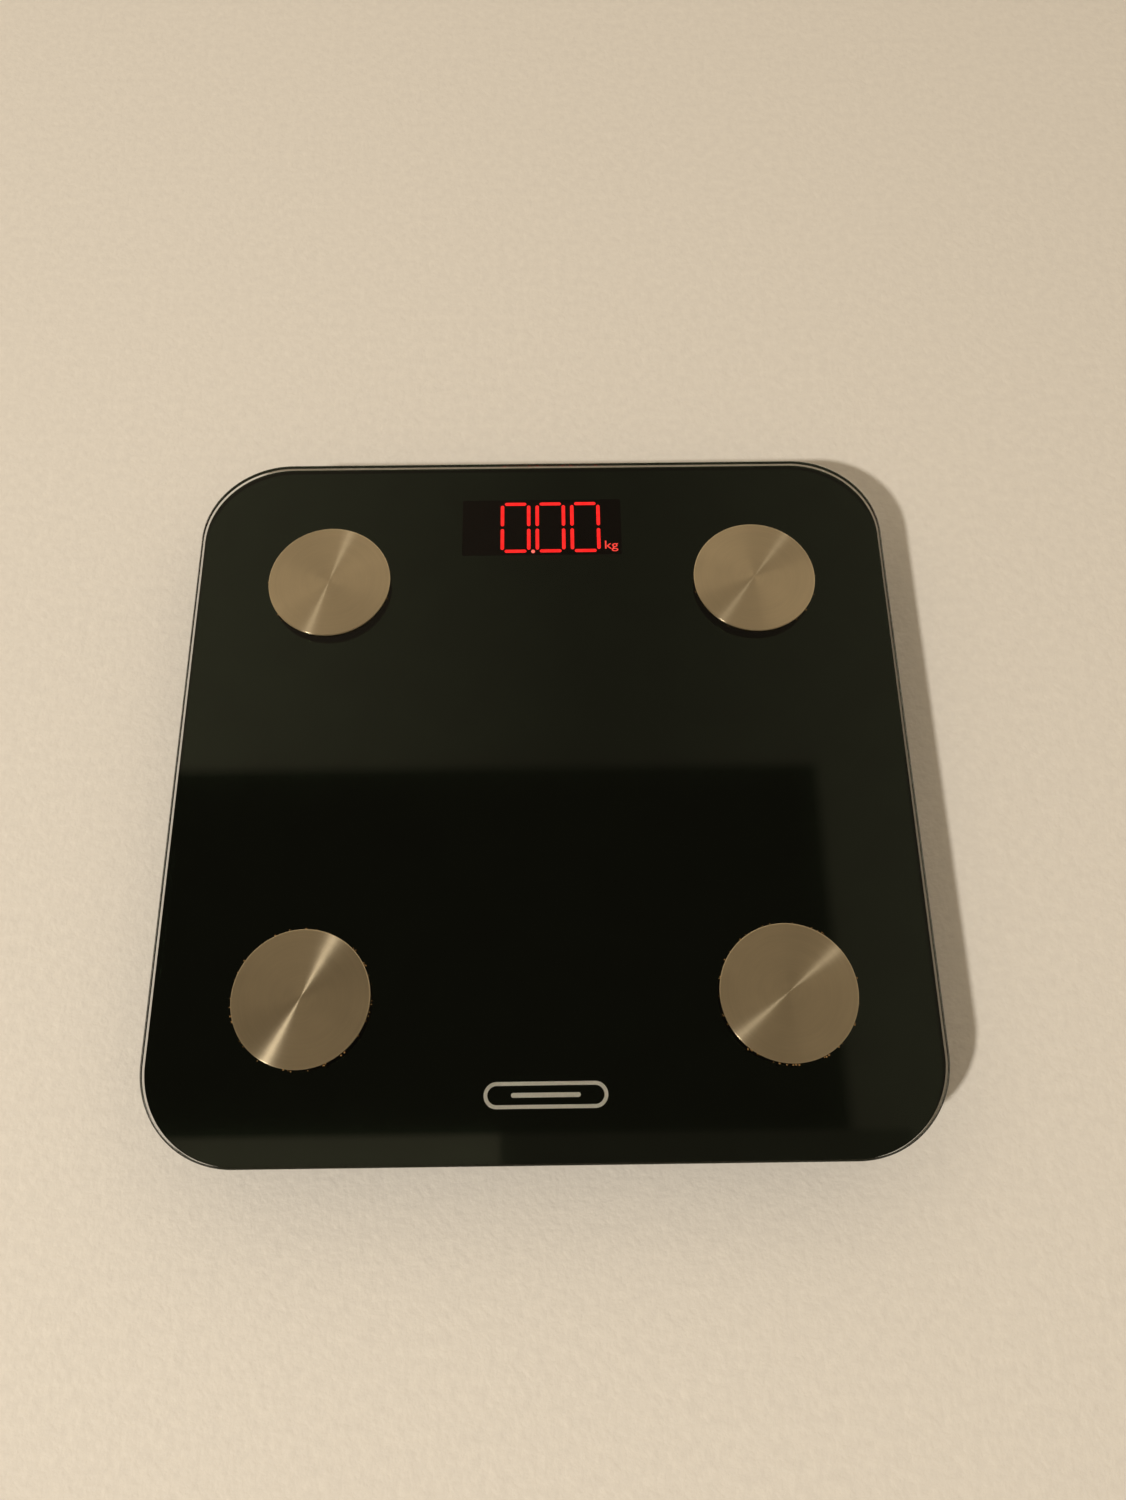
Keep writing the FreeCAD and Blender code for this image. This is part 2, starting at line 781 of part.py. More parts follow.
def contact_tags():
    """Where the first and the last contact plates pass out of the bay to their leads."""
    rows = cell_rows()
    reach = bay_half_x + bay_wall + tag_reach
    return [(rows[0][1] * reach, rows[0][0]), (-rows[-1][1] * reach, rows[-1][0])]


def contact_plates():
    """Plates at both ends: a single one for each lead, and one across each pair of neighbours."""
    rows = cell_rows()
    spans = [(rows[0][0], rows[0][0], rows[0][1])]
    for upper, lower in zip(rows, rows[1:]):
        spans.append((lower[0], upper[0], -upper[1]))
    spans.append((rows[-1][0], rows[-1][0], -rows[-1][1]))
    plates = []
    wide = contact_height / 2
    for low, high, side in spans:
        inner = bay_half_x - contact_thickness
        x0, x1 = sorted((side * inner, side * bay_half_x))
        plates.append(box(x0, x1, low - wide, high + wide, z_battery - wide, z_battery + wide))
    tagged = {0: 0, len(plates) - 1: 1}
    for index, tag in tagged.items():
        x_end, y = contact_tags()[tag]
        x0, x1 = sorted((x_end, math.copysign(bay_half_x - contact_thickness, x_end)))
        side, thick = tag_width / 2, contact_thickness / 2
        strip = box(x0, x1, y - side, y + side, battery_lead_z - thick, battery_lead_z + thick)
        plates[index] = join([plates[index], strip])
    return plates


def battery_door():
    """A flat lid with two hinge tabs on one edge and a sprung latch tongue on the other."""
    lid = box(-door_half_x, door_half_x, hinge_y, bay_y + door_half_y, z_under, z_door_top)
    start = V(-door_half_x, hinge_y, hinge_z)
    barrel = Part.makeCylinder(door_thickness / 2, 2 * door_half_x, start, V(1, 0, 0))
    parts = [lid, barrel]
    for side in (-1, 1):
        middle = side * tab_spread / 2
        parts.append(box(middle - tab_width / 2, middle + tab_width / 2,
                         hinge_y - door_thickness / 2 - tab_length, hinge_y, hinge_z, z_door_top))
    free_edge = bay_y + door_half_y
    parts.append(box(-latch_width / 2, latch_width / 2, free_edge, free_edge + latch_lip,
                     z_under + latch_lip_low, z_door_top))
    lid = join(parts)
    for side in (-1, 1):
        x = side * (latch_width / 2 + latch_slit)
        x0, x1 = sorted((side * latch_width / 2, x))
        lid = lid.cut(box(x0, x1, free_edge - latch_length, free_edge + 1, z_under - 1, z_door_top + 1))
    x, side = latch_width / 2 - latch_groove_margin, latch_groove_width / 2
    for step in range(latch_groove_count):
        y = free_edge - latch_groove_start - latch_groove_pitch * step
        lid = lid.cut(box(-x, x, y - side, y + side, z_under - 1, z_under + latch_groove_depth))
    return lid


# ---- display and main board ---------------------------------------------------------------------------
def digit_centres():
    return [digit_first_x + digit_pitch * place for place in range(digit_count)]


def segment_bar(x, y, length, upright):
    """One display segment: a bar with pointed ends."""
    half_long, half_wide = length / 2, segment_width / 2
    outline = [(-half_long, 0), (-half_long + half_wide, half_wide), (half_long - half_wide, half_wide)]
    outline += [(half_long, 0), (half_long - half_wide, -half_wide), (-half_long + half_wide, -half_wide)]
    points = []
    for along, across in outline + outline[:1]:
        dx, dy = (across, along) if upright else (along, across)
        points.append(V(x + dx, y + dy, z_module_top - segment_depth))
    return Part.Face(Part.makePolygon(points)).extrude(V(0, 0, segment_depth))


def segments():
    """Seven bars for each place, a point before each of the last two, and the unit sign's window."""
    bars = []
    flat = digit_width - segment_width - 2 * segment_gap
    tall = (digit_height - segment_width) / 2 - 2 * segment_gap
    dx = (digit_width - segment_width) / 2
    dy = (digit_height - segment_width) / 2
    for x in digit_centres():
        for level in (-1, 0, 1):
            bars.append(segment_bar(x, display_y + level * dy, flat, False))
        for side in (-1, 1):
            for level in (-0.5, 0.5):
                bars.append(segment_bar(x + side * dx, display_y + level * dy, tall, True))
    point_y = display_y - digit_height / 2 + 0.6
    for x in digit_centres()[2:]:
        bars.append(rod(x - digit_pitch / 2, point_y, z_module_top - segment_depth, z_module_top,
                        point_diameter / 2 - 0.3))
    unit_x = digit_centres()[-1] + digit_width / 2 + 1.2
    unit_y = display_y - digit_height / 2
    bars.append(box(unit_x, unit_x + unit_lamp_width, unit_y, unit_y + unit_lamp_height,
                    z_module_top - segment_depth, z_module_top))
    return bars


def display_module():
    hx, hy = module_width / 2, module_depth / 2
    body = box(-hx, hx, display_y - hy, display_y + hy, z_board_top, z_module_top)
    return body.cut(Part.makeCompound(segments()))


def pin_places():
    places = []
    step = (module_width - 2 * pin_margin) / (pin_count / 2 - 1)
    for index in range(pin_count // 2):
        x = -module_width / 2 + pin_margin + step * index
        places += [(x, display_y - pin_row), (x, display_y + pin_row)]
    return places


def display_pins():
    return [rod(x, y, z_board - pin_tail, z_board_top, pin_diameter / 2) for x, y in pin_places()]


def main_board():
    board = box(-board_width / 2, board_width / 2, board_y0, board_y1, z_board, z_board_top)
    for x, y in pin_places():
        board = board.cut(rod(x, y, z_board - 1, z_board_top + 1, pin_diameter / 2))
    for x, y in board_screw_places():
        board = board.cut(rod(x, y, z_board - 1, z_board_top + 1, screw_diameter / 2 + screw_gap))
    return board


def controller_chip():
    y, side = display_y + 1.0, chip_side / 2
    low = z_board - chip_standoff - chip_height
    body = box(chip_x - side, chip_x + side, y - side, y + side, low, z_board - chip_standoff)
    legs = []
    for index in range(chip_leg_count):
        along = y + chip_leg_pitch * (index - (chip_leg_count - 1) / 2)
        legs.append(box(chip_x - chip_leg_reach, chip_x + chip_leg_reach, along - chip_leg_width / 2,
                        along + chip_leg_width / 2, z_board - 2 * chip_standoff, z_board))
    return join([body] + legs)


def radio_module():
    y, hx, hy = display_y + 2.0, radio_width / 2, radio_depth / 2
    low = z_board - radio_board
    base = box(radio_x - hx, radio_x + hx, y - hy, y + hy, low, z_board)
    can = box(radio_x - hx + 1.0, radio_x + hx - 1.0, y - hy + 1.5, y + hy - 4.5, low - radio_can, low)
    return join([base, can])


def clock_crystal():
    y = display_y - 4.0
    return rounded_block(crystal_x, y, crystal_width / 2, crystal_depth / 2, crystal_corner,
                         z_board - crystal_height, z_board)


def board_capacitors():
    x = -board_width / 2 + capacitor_inset
    top = z_board_top + capacitor_height
    return [rod(x, board_y0 + place, z_board_top, top, capacitor_radius) for place in capacitor_places]


def load_cell_header():
    y0 = board_y0 + low_header_front
    wide = low_header_width / 2
    return box(-wide, wide, y0, y0 + header_depth, z_board - low_header_height, z_board)


def electrode_headers():
    headers = []
    for side in (-1, 1):
        x0, x1 = sorted(side * x for x in electrode_header_x)
        y0 = board_y0 + electrode_header_front
        headers.append(box(x0, x1, y0, y0 + header_depth, z_board_top, z_board_top + header_height))
    return headers


def board_screws():
    return [screw(x, y, z_board_top) for x, y in board_screw_places()]


# ---- unit button --------------------------------------------------------------------------------------
def unit_button():
    face = z_under + button_sink
    flange = z_floor + button_gap
    cap = rod(button_x, button_y, face, flange, button_diameter / 2)
    cap = cap.makeFillet(button_edge_round, edges_at(cap, face))
    brim = rod(button_x, button_y, flange, flange + button_flange, button_diameter / 2 + button_flange_width)
    cap = join([cap, brim])
    dish_z = face - button_dish_radius + button_dish_depth
    return cap.cut(Part.makeSphere(button_dish_radius, V(button_x, button_y, dish_z)))


def switch_plunger():
    base = z_floor + button_gap + button_flange
    return rod(button_x, button_y, base, base + plunger_length, plunger_diameter / 2)


def unit_switch():
    base = z_floor + button_gap + button_flange + button_travel + switch_gap
    side = switch_side / 2
    body = box(button_x - side, button_x + side, button_y - side, button_y + side, base, z_board)
    legs = []
    for sx in (-1, 1):
        for sy in (-1, 1):
            x0, x1 = sorted((button_x + sx * side, button_x + sx * (side + switch_leg)))
            y0 = button_y + sy * switch_leg_y - switch_leg_width / 2
            legs.append(box(x0, x1, y0, y0 + switch_leg_width, z_board - switch_leg_height, z_board))
    body = join([body] + legs)
    plunger_top = z_floor + button_gap + button_flange + plunger_length + button_travel
    return body.cut(rod(button_x, button_y, base - 1, plunger_top + switch_bore_gap,
                        plunger_diameter / 2 + plunger_gap))


# ---- leads --------------------------------------------------------------------------------------------
def toe_cell_route():
    high = z_cell_top + cell_core / 2 + 0.2
    x, y, z = gauge_x, foot_y, cell_lead_z
    out = foot_x - seat_outer
    return [(x, y, high), (out + 3.5, y, high), (out - 3.5, y, z), (out - 14, y - 3, z),
            (out - 20, y - 13, z), (out - 26, y - 24, z), (52, board_y0 - 14, z), (30, board_y0 - 16, z),
            (15, board_y0 - 15, z), (11, board_y0 - 10, z), (11, board_y0 - 5, header_entry_z),
            (11, board_y0 + low_header_front, header_entry_z)]


def heel_cell_route():
    high = z_cell_top + cell_core / 2 + 0.2
    x, y, z = gauge_x, -foot_y, cell_lead_z
    out = foot_x - seat_outer
    return [(x, y, high), (out + 3.5, y, high), (out - 3.5, y, z), (out - 16, y + 2, z),
            (out - 26, y + 12, z), (50, -64, z), (47, -34, z), (46, -2, z), (45, 26, z),
            (38, 46, z), (22, 58, z), (8, 63, z), (4, 71, z), (4, board_y0 - 10, z),
            (4, board_y0 - 5, header_entry_z), (4, board_y0 + low_header_front, header_entry_z)]


def toe_electrode_route():
    x, y, z = electrode_x - terminal_reach, electrode_y, electrode_lead_z
    return [(x, y, z), (x - 10, y, z), (x - 21, y - 4, z), (x - 31, y - 4, z), (44, board_y0 - 4, z),
            (44, board_y0 + electrode_header_front, z)]


def heel_electrode_route():
    x, y, z = electrode_x - terminal_reach, -electrode_y, electrode_lead_z
    return [(x, y, z), (x - 9, y, z), (x - 19, y + 12, z), (x - 27, y + 38, z), (46, -18, z),
            (41, 16, z), (38.4, 44, z), (39, 66, z), (39, board_y0 + electrode_header_front, z)]


def cell_lead(corner):
    route = toe_cell_route() if corners[corner][1] > 0 else heel_cell_route()
    cores = []
    for offset in (-cell_core_pitch, 0, cell_core_pitch):
        core = lead(beside(route, offset), cell_core)
        if corners[corner][0] < 0:
            core = core.mirror(V(0, 0, 0), V(1, 0, 0))
        cores.append(core)
    return cores


def electrode_lead(corner):
    route = toe_electrode_route() if corners[corner][1] > 0 else heel_electrode_route()
    core = lead(route, lead_diameter)
    if corners[corner][0] < 0:
        core = core.mirror(V(0, 0, 0), V(1, 0, 0))
    return [core]


def battery_leads():
    z = battery_lead_z + contact_thickness / 2 + lead_diameter / 2
    leads = []
    for x, y in contact_tags():
        side = math.copysign(1, x)
        end_x = side * 30.0
        route = [(x - side * 0.2, y - 1.0, z), (x, y + 6, z), (x + side * 1.5, bay_y + bay_half_y + 4, z),
                 (x, board_y0 - 18, z), (end_x, board_y0 - 8, z), (end_x, board_y0 + 3.5, z)]
        leads.append(lead(route, lead_diameter))
    return leads


# ---- all pieces ---------------------------------------------------------------------------------------
def all_corners(shape):
    return [to_corner(shape, corner) for corner in corners]


def pieces():
    nodes = {
        "glass_platform": [glass_platform()],
        "backing_film": [backing_film()],
        "display_filter": [display_filter()],
        "foam_tape": [foam_tape()],
        "base_tray": [base_tray()],
        "electrode_adhesive_rings": all_corners(adhesive_ring()),
        "electrode_washers": all_corners(washer()),
        "electrode_terminals": all_corners(terminal()),
        "electrode_nuts": all_corners(nut()),
        "strain_gauges": all_corners(strain_gauge()),
        "holder_screws": [to_corner(one, corner) for corner in corners for one in holder_screws()],
        "main_board": [main_board()],
        "controller_chip": [controller_chip()],
        "radio_module": [radio_module()],
        "clock_crystal": [clock_crystal()],
        "board_capacitors": board_capacitors(),
        "load_cell_header": [load_cell_header()],
        "electrode_headers": electrode_headers(),
        "board_screws": board_screws(),
        "display_module": [display_module()],
        "digit_segments": segments(),
        "display_pins": display_pins(),
        "unit_switch": [unit_switch()],
        "switch_plunger": [switch_plunger()],
        "unit_button": [unit_button()],
        "battery_door": [battery_door()],
        "battery_cells": [battery_cell(y, plus) for y, plus in cell_rows()],
        "battery_springs": [contact_spring(y, plus) for y, plus in cell_rows()],
        "battery_contacts": contact_plates(),
        "battery_leads": battery_leads(),
    }
    shared = {"electrode": electrode(), "foot": foot(), "foot_pad": foot_pad(), "load_cell": load_cell(),
              "cell_holder": cell_holder()}
    for corner in corners:
        for name, shape in shared.items():
            nodes[corner + "_" + name] = [to_corner(shape, corner)]
        nodes[corner + "_cell_lead"] = cell_lead(corner)
        nodes[corner + "_electrode_lead"] = electrode_lead(corner)
    return nodes


def export():
    os.makedirs("parts", exist_ok=True)
    for name, solids in pieces().items():
        shape = solids[0] if len(solids) == 1 else Part.makeCompound(solids)
        shape.exportStep("parts/" + name + ".step")
        if not shape.isValid() or len(shape.Solids) != len(solids):
            print("check", name, shape.isValid(), len(shape.Solids), len(solids))


export()
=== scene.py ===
import json
import logging
import math
from dataclasses import dataclass, field
from enum import Enum
from typing import Sequence

import bpy
import numpy as np
from mathutils import Matrix, Vector


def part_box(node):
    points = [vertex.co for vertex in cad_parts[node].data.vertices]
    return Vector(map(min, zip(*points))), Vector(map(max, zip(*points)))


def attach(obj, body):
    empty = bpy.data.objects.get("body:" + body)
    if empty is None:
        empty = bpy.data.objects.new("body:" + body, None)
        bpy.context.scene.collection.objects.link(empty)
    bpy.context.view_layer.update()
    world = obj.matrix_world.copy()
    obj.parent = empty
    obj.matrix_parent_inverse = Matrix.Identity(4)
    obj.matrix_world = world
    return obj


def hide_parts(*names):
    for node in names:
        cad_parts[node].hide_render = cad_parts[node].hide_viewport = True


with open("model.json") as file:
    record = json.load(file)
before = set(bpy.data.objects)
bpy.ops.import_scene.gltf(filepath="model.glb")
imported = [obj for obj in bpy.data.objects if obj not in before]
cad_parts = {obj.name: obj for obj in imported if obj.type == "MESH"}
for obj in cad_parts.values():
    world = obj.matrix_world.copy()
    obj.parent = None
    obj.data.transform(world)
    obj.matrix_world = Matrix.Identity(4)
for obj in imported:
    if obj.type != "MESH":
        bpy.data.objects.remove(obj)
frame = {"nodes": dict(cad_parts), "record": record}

logging.basicConfig(level=logging.INFO, format="%(message)s")
LOG = logging.getLogger("body_scale")
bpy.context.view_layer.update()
MM = 0.001
PLATFORM = "platform"
Colour = tuple[float, float, float]
Setting = float | str | Colour


class Corner(Enum):
    """The four corners of the platform: the side (-1 left, 1 right) and the end (1 toe, -1 heel)."""

    TOE_LEFT = (-1, 1)
    TOE_RIGHT = (1, 1)
    HEEL_LEFT = (-1, -1)
    HEEL_RIGHT = (1, -1)

    @property
    def node(self) -> str:
        """The corner's name as the frame's nodes spell it."""
        return self.name.lower()


class Bar(Enum):
    """One bar of a seven-segment place: steps across and along from its middle, and whether it is upright."""

    TOP = (0, 2, False)
    MIDDLE = (0, 0, False)
    BOTTOM = (0, -2, False)
    UPPER_LEFT = (-1, 1, True)
    UPPER_RIGHT = (1, 1, True)
    LOWER_LEFT = (-1, -1, True)
    LOWER_RIGHT = (1, -1, True)


ZERO = frozenset(Bar) - {Bar.MIDDLE}
BLANK: frozenset = frozenset()


# ---- meshes ---------------------------------------------------------------------------------------------
@dataclass
class Shell:
    """Points and faces of one closed surface, or of several side by side."""

    points: np.ndarray
    faces: list[tuple[int, ...]]

    @staticmethod
    def together(shells: Sequence["Shell"]) -> "Shell":
        """All shells in one, with each one's face numbers moved up past the points before it.

        Args:
            shells: The shells to put together.

        Returns:
            One shell that holds them all.
        """
        faces: list[tuple[int, ...]] = []
        start = 0
        for shell in shells:
            faces += [tuple(corner + start for corner in face) for face in shell.faces]
            start += len(shell.points)
        return Shell(np.concatenate([shell.points for shell in shells]), faces)

    def piece(self, name: str, sharp_deg: float = 35.0) -> bpy.types.Object:
        """Puts the shell into a mesh object at the origin, smooth but for edges over sharp_deg.

        Args:
            name: The piece's name.
            sharp_deg: The turn between two faces past which their edge is drawn sharp.

        Returns:
            The new object.
        """
        mesh = bpy.data.meshes.new(name)
        mesh.from_pydata(self.points.tolist(), [], self.faces)
        mesh.validate()
        mesh.polygons.foreach_set("use_smooth", np.ones(len(mesh.polygons), dtype=bool))
        mesh.set_sharp_from_angle(angle=math.radians(sharp_deg))
        mesh.update()
        made = bpy.data.objects.new(name, mesh)
        bpy.context.scene.collection.objects.link(made)
        return made


def ring_faces(rings: int, around: int) -> list[tuple[int, ...]]:
    """Quads between each ring of points and the next, closed round the ring.

    Args:
        rings: How many rings.
        around: How many points each ring has.

    Returns:
        The faces, as point numbers.
    """
    row, column = np.meshgrid(np.arange(rings - 1), np.arange(around), indexing="ij")
    following = (column + 1) % around
    quads = np.stack([row * around + column, row * around + following,
                      (row + 1) * around + following, (row + 1) * around + column], axis=-1)
    return [tuple(quad) for quad in quads.reshape(-1, 4).tolist()]


def lofted(rings: np.ndarray) -> Shell:
    """A closed skin over rings of points, from the lowest ring up, with a flat face at both ends.

    Args:
        rings: An array of rings by points by 3; each ring runs anticlockwise seen from above.

    Returns:
        The closed shell.
    """
    count, around = rings.shape[:2]
    faces = ring_faces(count, around)
    faces.append(tuple(range(around - 1, -1, -1)))
    faces.append(tuple(range((count - 1) * around, count * around)))
    return Shell(rings.reshape(-1, 3), faces)


def rounded_outline(half: tuple[float, float], radius: float, steps: int = 24) -> np.ndarray:
    """A rectangle with round corners, anticlockwise.

    Each quarter turn t adds radius * (cos t, sin t) to the middle of its own corner.

    Args:
        half: Half the width and half the depth.
        radius: The corner radius.
        steps: Points in each quarter turn.

    Returns:
        An array of points by 2.
    """
    turn = np.linspace(0, 2 * np.pi, 4 * steps, endpoint=False).reshape(4, steps)
    turn = turn[:, :1] + (turn - turn[:, :1]) * steps / (steps - 1)
    side = np.array([[1, 1], [-1, 1], [-1, -1], [1, -1]])[:, None, :]
    middle = side * (np.array(half) - radius)
    return (middle + radius * np.stack([np.cos(turn), np.sin(turn)], axis=-1)).reshape(-1, 2)


def slab(half: tuple[float, float], radius: float, profile: Sequence[tuple[float, float]],
         centre: tuple[float, float] = (0.0, 0.0), steps: int = 24) -> Shell:
    """A slab with round corners whose edge follows a profile.

    Every profile point (inset, height) gives one ring: the outline drawn inset by that much, at that height.

    Args:
        half: Half the width and half the depth.
        radius: The corner radius of the outline.
        profile: Points (inset, height) from the underside up to the top.
        centre: The middle in plan.
        steps: Points in each quarter turn.

    Returns:
        The closed shell.
    """
    rings = []
    for inset, height in profile:
        outline = rounded_outline((half[0] - inset, half[1] - inset), max(radius - inset, 1e-5), steps)
        rings.append(np.column_stack([outline + np.array(centre), np.full(len(outline), height)]))
    return lofted(np.stack(rings))


def turned(profile: Sequence[tuple[float, float]], centre: tuple[float, float], around: int = 96) -> Shell:
    """A turned piece: the profile (radius, height) swept round an upright axis.

    Ring t is centre + radius * (cos, sin) of t, at the profile's height; the first and last points must be
    off the axis, and the flat faces there close the ends.

    Args:
        profile: Points (radius, height) from the underside up to the top.
        centre: The axis in plan.
        around: Points round the axis.

    Returns:
        The closed shell.
    """
    turn = np.linspace(0, 2 * np.pi, around, endpoint=False)
    radius, height = (np.array(side)[:, None] for side in zip(*profile))
    x = centre[0] + radius * np.cos(turn)
    y = centre[1] + radius * np.sin(turn)
    return lofted(np.stack([x, y, np.broadcast_to(height, x.shape)], axis=-1))


def softened(profile: Sequence[tuple[float, float]], radius: float,
             steps: int = 4) -> list[tuple[float, float]]:
    """A profile with its inner corners rounded, and a point kept close to each curve on both sides.

    Between the two points that lie radius from a corner, the curve is the quadratic with the corner as its
    control point.

    Args:
        profile: The profile's corners.
        radius: How far from each corner the curve begins.
        steps: Parts in each curve.

    Returns:
        The rounded profile.
    """
    corners = np.array(profile, dtype=float)
    out = [corners[0]]
    for before, corner, after in zip(corners, corners[1:], corners[2:]):
        back, ahead = before - corner, after - corner
        reach = [min(radius, 0.42 * np.linalg.norm(way)) for way in (back, ahead)]
        start, end = (corner + way / np.linalg.norm(way) * size for way, size in zip((back, ahead), reach))
        out.append(start + (start - corner) * 0.12)
        t = np.linspace(0, 1, steps + 1)[:, None]
        out += list((1 - t) ** 2 * start + 2 * t * (1 - t) * corner + t ** 2 * end)
        out.append(end + (end - corner) * 0.12)
    out.append(corners[-1])
    return [tuple(point) for point in out]


def stadium(length: float, width: float, upright: bool, steps: int = 10) -> np.ndarray:
    """A bar's outline with half-round ends, anticlockwise about the origin.

    Args:
        length: End to end.
        width: Across, twice the radius of its ends.
        upright: True if it stands along Y.
        steps: Points in each half turn.

    Returns:
        An array of points by 2.
    """
    turn = np.linspace(-np.pi / 2, np.pi / 2, steps)
    reach = (length - width) / 2
    cap = np.column_stack([reach + np.cos(turn) * width / 2, np.sin(turn) * width / 2])
    outline = np.concatenate([cap, -cap])
    return outline @ np.array([[0.0, 1.0], [-1.0, 0.0]]) if upright else outline


def prism(outline: np.ndarray, low: float, high: float, centre: tuple[float, float] = (0.0, 0.0)) -> Shell:
    """An upright prism on a flat outline.

    Args:
        outline: Points by 2, anticlockwise.
        low: The height of its underside.
        high: The height of its top.
        centre: What is added to the outline in plan.

    Returns:
        The closed shell.
    """
    flat = outline + np.array(centre)
    rings = [np.column_stack([flat, np.full(len(flat), height)]) for height in (low, high)]
    return lofted(np.stack(rings))


def carve(piece: bpy.types.Object, drill: bpy.types.Object) -> None:
    """Takes the drill's volume out of the piece for good, and removes the drill.

    Args:
        piece: The piece to cut.
        drill: A closed object that shows what to take away.
    """
    cut = piece.modifiers.new("cut", "BOOLEAN")
    cut.operation = "DIFFERENCE"
    cut.solver = "EXACT"
    cut.object = drill
    ready = piece.evaluated_get(bpy.context.evaluated_depsgraph_get())
    whole = bpy.data.meshes.new_from_object(ready)
    piece.modifiers.clear()
    whole.polygons.foreach_set("use_smooth", np.ones(len(whole.polygons), dtype=bool))
    whole.set_sharp_from_angle(angle=math.radians(30.0))
    piece.data = whole
    bpy.data.objects.remove(drill)


# ---- finishes -------------------------------------------------------------------------------------------
class Web:
    """A material's node tree, with short calls for the nodes that the finishes use."""

    def __init__(self, name: str) -> None:
        """Makes the material with a bare Principled surface."""
        self.material = bpy.data.materials.new(name)
        self.material.use_nodes = True
        self.tree = self.material.node_tree
        self.surface = self.tree.nodes["Principled BSDF"]

    @classmethod
    def on(cls, tree: bpy.types.NodeTree) -> "Web":
        """The same short calls on a tree that is no material's."""
        web = cls.__new__(cls)
        web.tree = tree
        return web

    def lay(self, level: bpy.types.NodeSocket, mask: bpy.types.NodeSocket,
            over: bpy.types.NodeSocket | float) -> bpy.types.NodeSocket:
        """The level with another, a socket or a number, laid over it where the mask is 1."""
        made = self.node("ShaderNodeMix", data_type="FLOAT")
        self.link(mask, made.inputs[0])
        self.link(level, made.inputs[2])
        if isinstance(over, (int, float)):
            made.inputs[3].default_value = over
        else:
            self.link(over, made.inputs[3])
        return made.outputs[0]

    def set(self, **values: Setting) -> "Web":
        """Sets sockets of the surface by name, with _ for each space."""
        for key, value in values.items():
            socket = self.surface.inputs[key.replace("_", " ")]
            socket.default_value = (*value, 1.0) if isinstance(value, tuple) and len(value) == 3 else value
        return self

    def link(self, source: bpy.types.NodeSocket, target: bpy.types.NodeSocket) -> None:
        """Joins an output to an input."""
        self.tree.links.new(source, target)

    def node(self, kind: str, **settings: Setting) -> bpy.types.Node:
        """Adds a node; settings whose names are its properties are set on it, the others on its inputs."""
        made = self.tree.nodes.new(kind)
        for key, value in settings.items():
            if hasattr(made, key):
                setattr(made, key, value)
            else:
                made.inputs[key.replace("_", " ")].default_value = value
        return made

    def place(self) -> bpy.types.NodeSocket:
        """The piece's own Object coordinates."""
        return self.node("ShaderNodeTexCoord").outputs["Object"]

    def noise(self, where: bpy.types.NodeSocket, scale: float, detail: float = 3.0,
              rough: float = 0.5) -> bpy.types.NodeSocket:
        """Noise of that many cells to the metre."""
        made = self.node("ShaderNodeTexNoise", Scale=scale, Detail=detail, Roughness=rough)
        self.link(where, made.inputs["Vector"])
        return made.outputs["Fac"]

    def remap(self, value: bpy.types.NodeSocket, low: float, high: float, to_low: float,
              to_high: float) -> bpy.types.NodeSocket:
        """The value carried from one span to another, held at its ends."""
        made = self.node("ShaderNodeMapRange", From_Min=low, From_Max=high, To_Min=to_low, To_Max=to_high)
        self.link(value, made.inputs["Value"])
        return made.outputs["Result"]

    def maths(self, operation: str, first: bpy.types.NodeSocket,
              second: bpy.types.NodeSocket | float) -> bpy.types.NodeSocket:
        """One sum on two values, the second a socket or a number."""
        made = self.node("ShaderNodeMath", operation=operation)
        self.link(first, made.inputs[0])
        if isinstance(second, (int, float)):
            made.inputs[1].default_value = second
        else:
            self.link(second, made.inputs[1])
        return made.outputs[0]

    def vector(self, operation: str, first: bpy.types.NodeSocket, **settings: Setting) -> bpy.types.Node:
        """One sum on vectors, whose first is given."""
        made = self.node("ShaderNodeVectorMath", operation=operation, **settings)
        self.link(first, made.inputs[0])
        return made

    def blend(self, factor: bpy.types.NodeSocket, first: Colour, second: Colour) -> bpy.types.NodeSocket:
        """A colour between two, by a factor."""
        made = self.node("ShaderNodeMix", data_type="RGBA")
        self.link(factor, made.inputs["Factor"])
        for socket in made.inputs:
            if socket.type == "RGBA":
                socket.default_value = (*(first if socket.name == "A" else second), 1.0)
        return next(out for out in made.outputs if out.type == "RGBA")

    def colour(self, source: bpy.types.NodeSocket) -> None:
        """Gives the surface its colour."""
        self.link(source, self.surface.inputs["Base Color"])

    def roughness(self, source: bpy.types.NodeSocket) -> None:
        """Gives the surface its roughness."""
        self.link(source, self.surface.inputs["Roughness"])

    def bump(self, height: bpy.types.NodeSocket, distance: float, strength: float = 1.0) -> None:
        """Gives the surface a relief of that height in metres."""
        made = self.node("ShaderNodeBump", Strength=strength, Distance=distance)
        self.link(height, made.inputs["Height"])
        self.link(made.outputs["Normal"], self.surface.inputs["Normal"])


def scaled(colour: Colour, factor: float) -> Colour:
    """A colour made lighter or darker."""
    return tuple(min(1.0, part * factor) for part in colour)


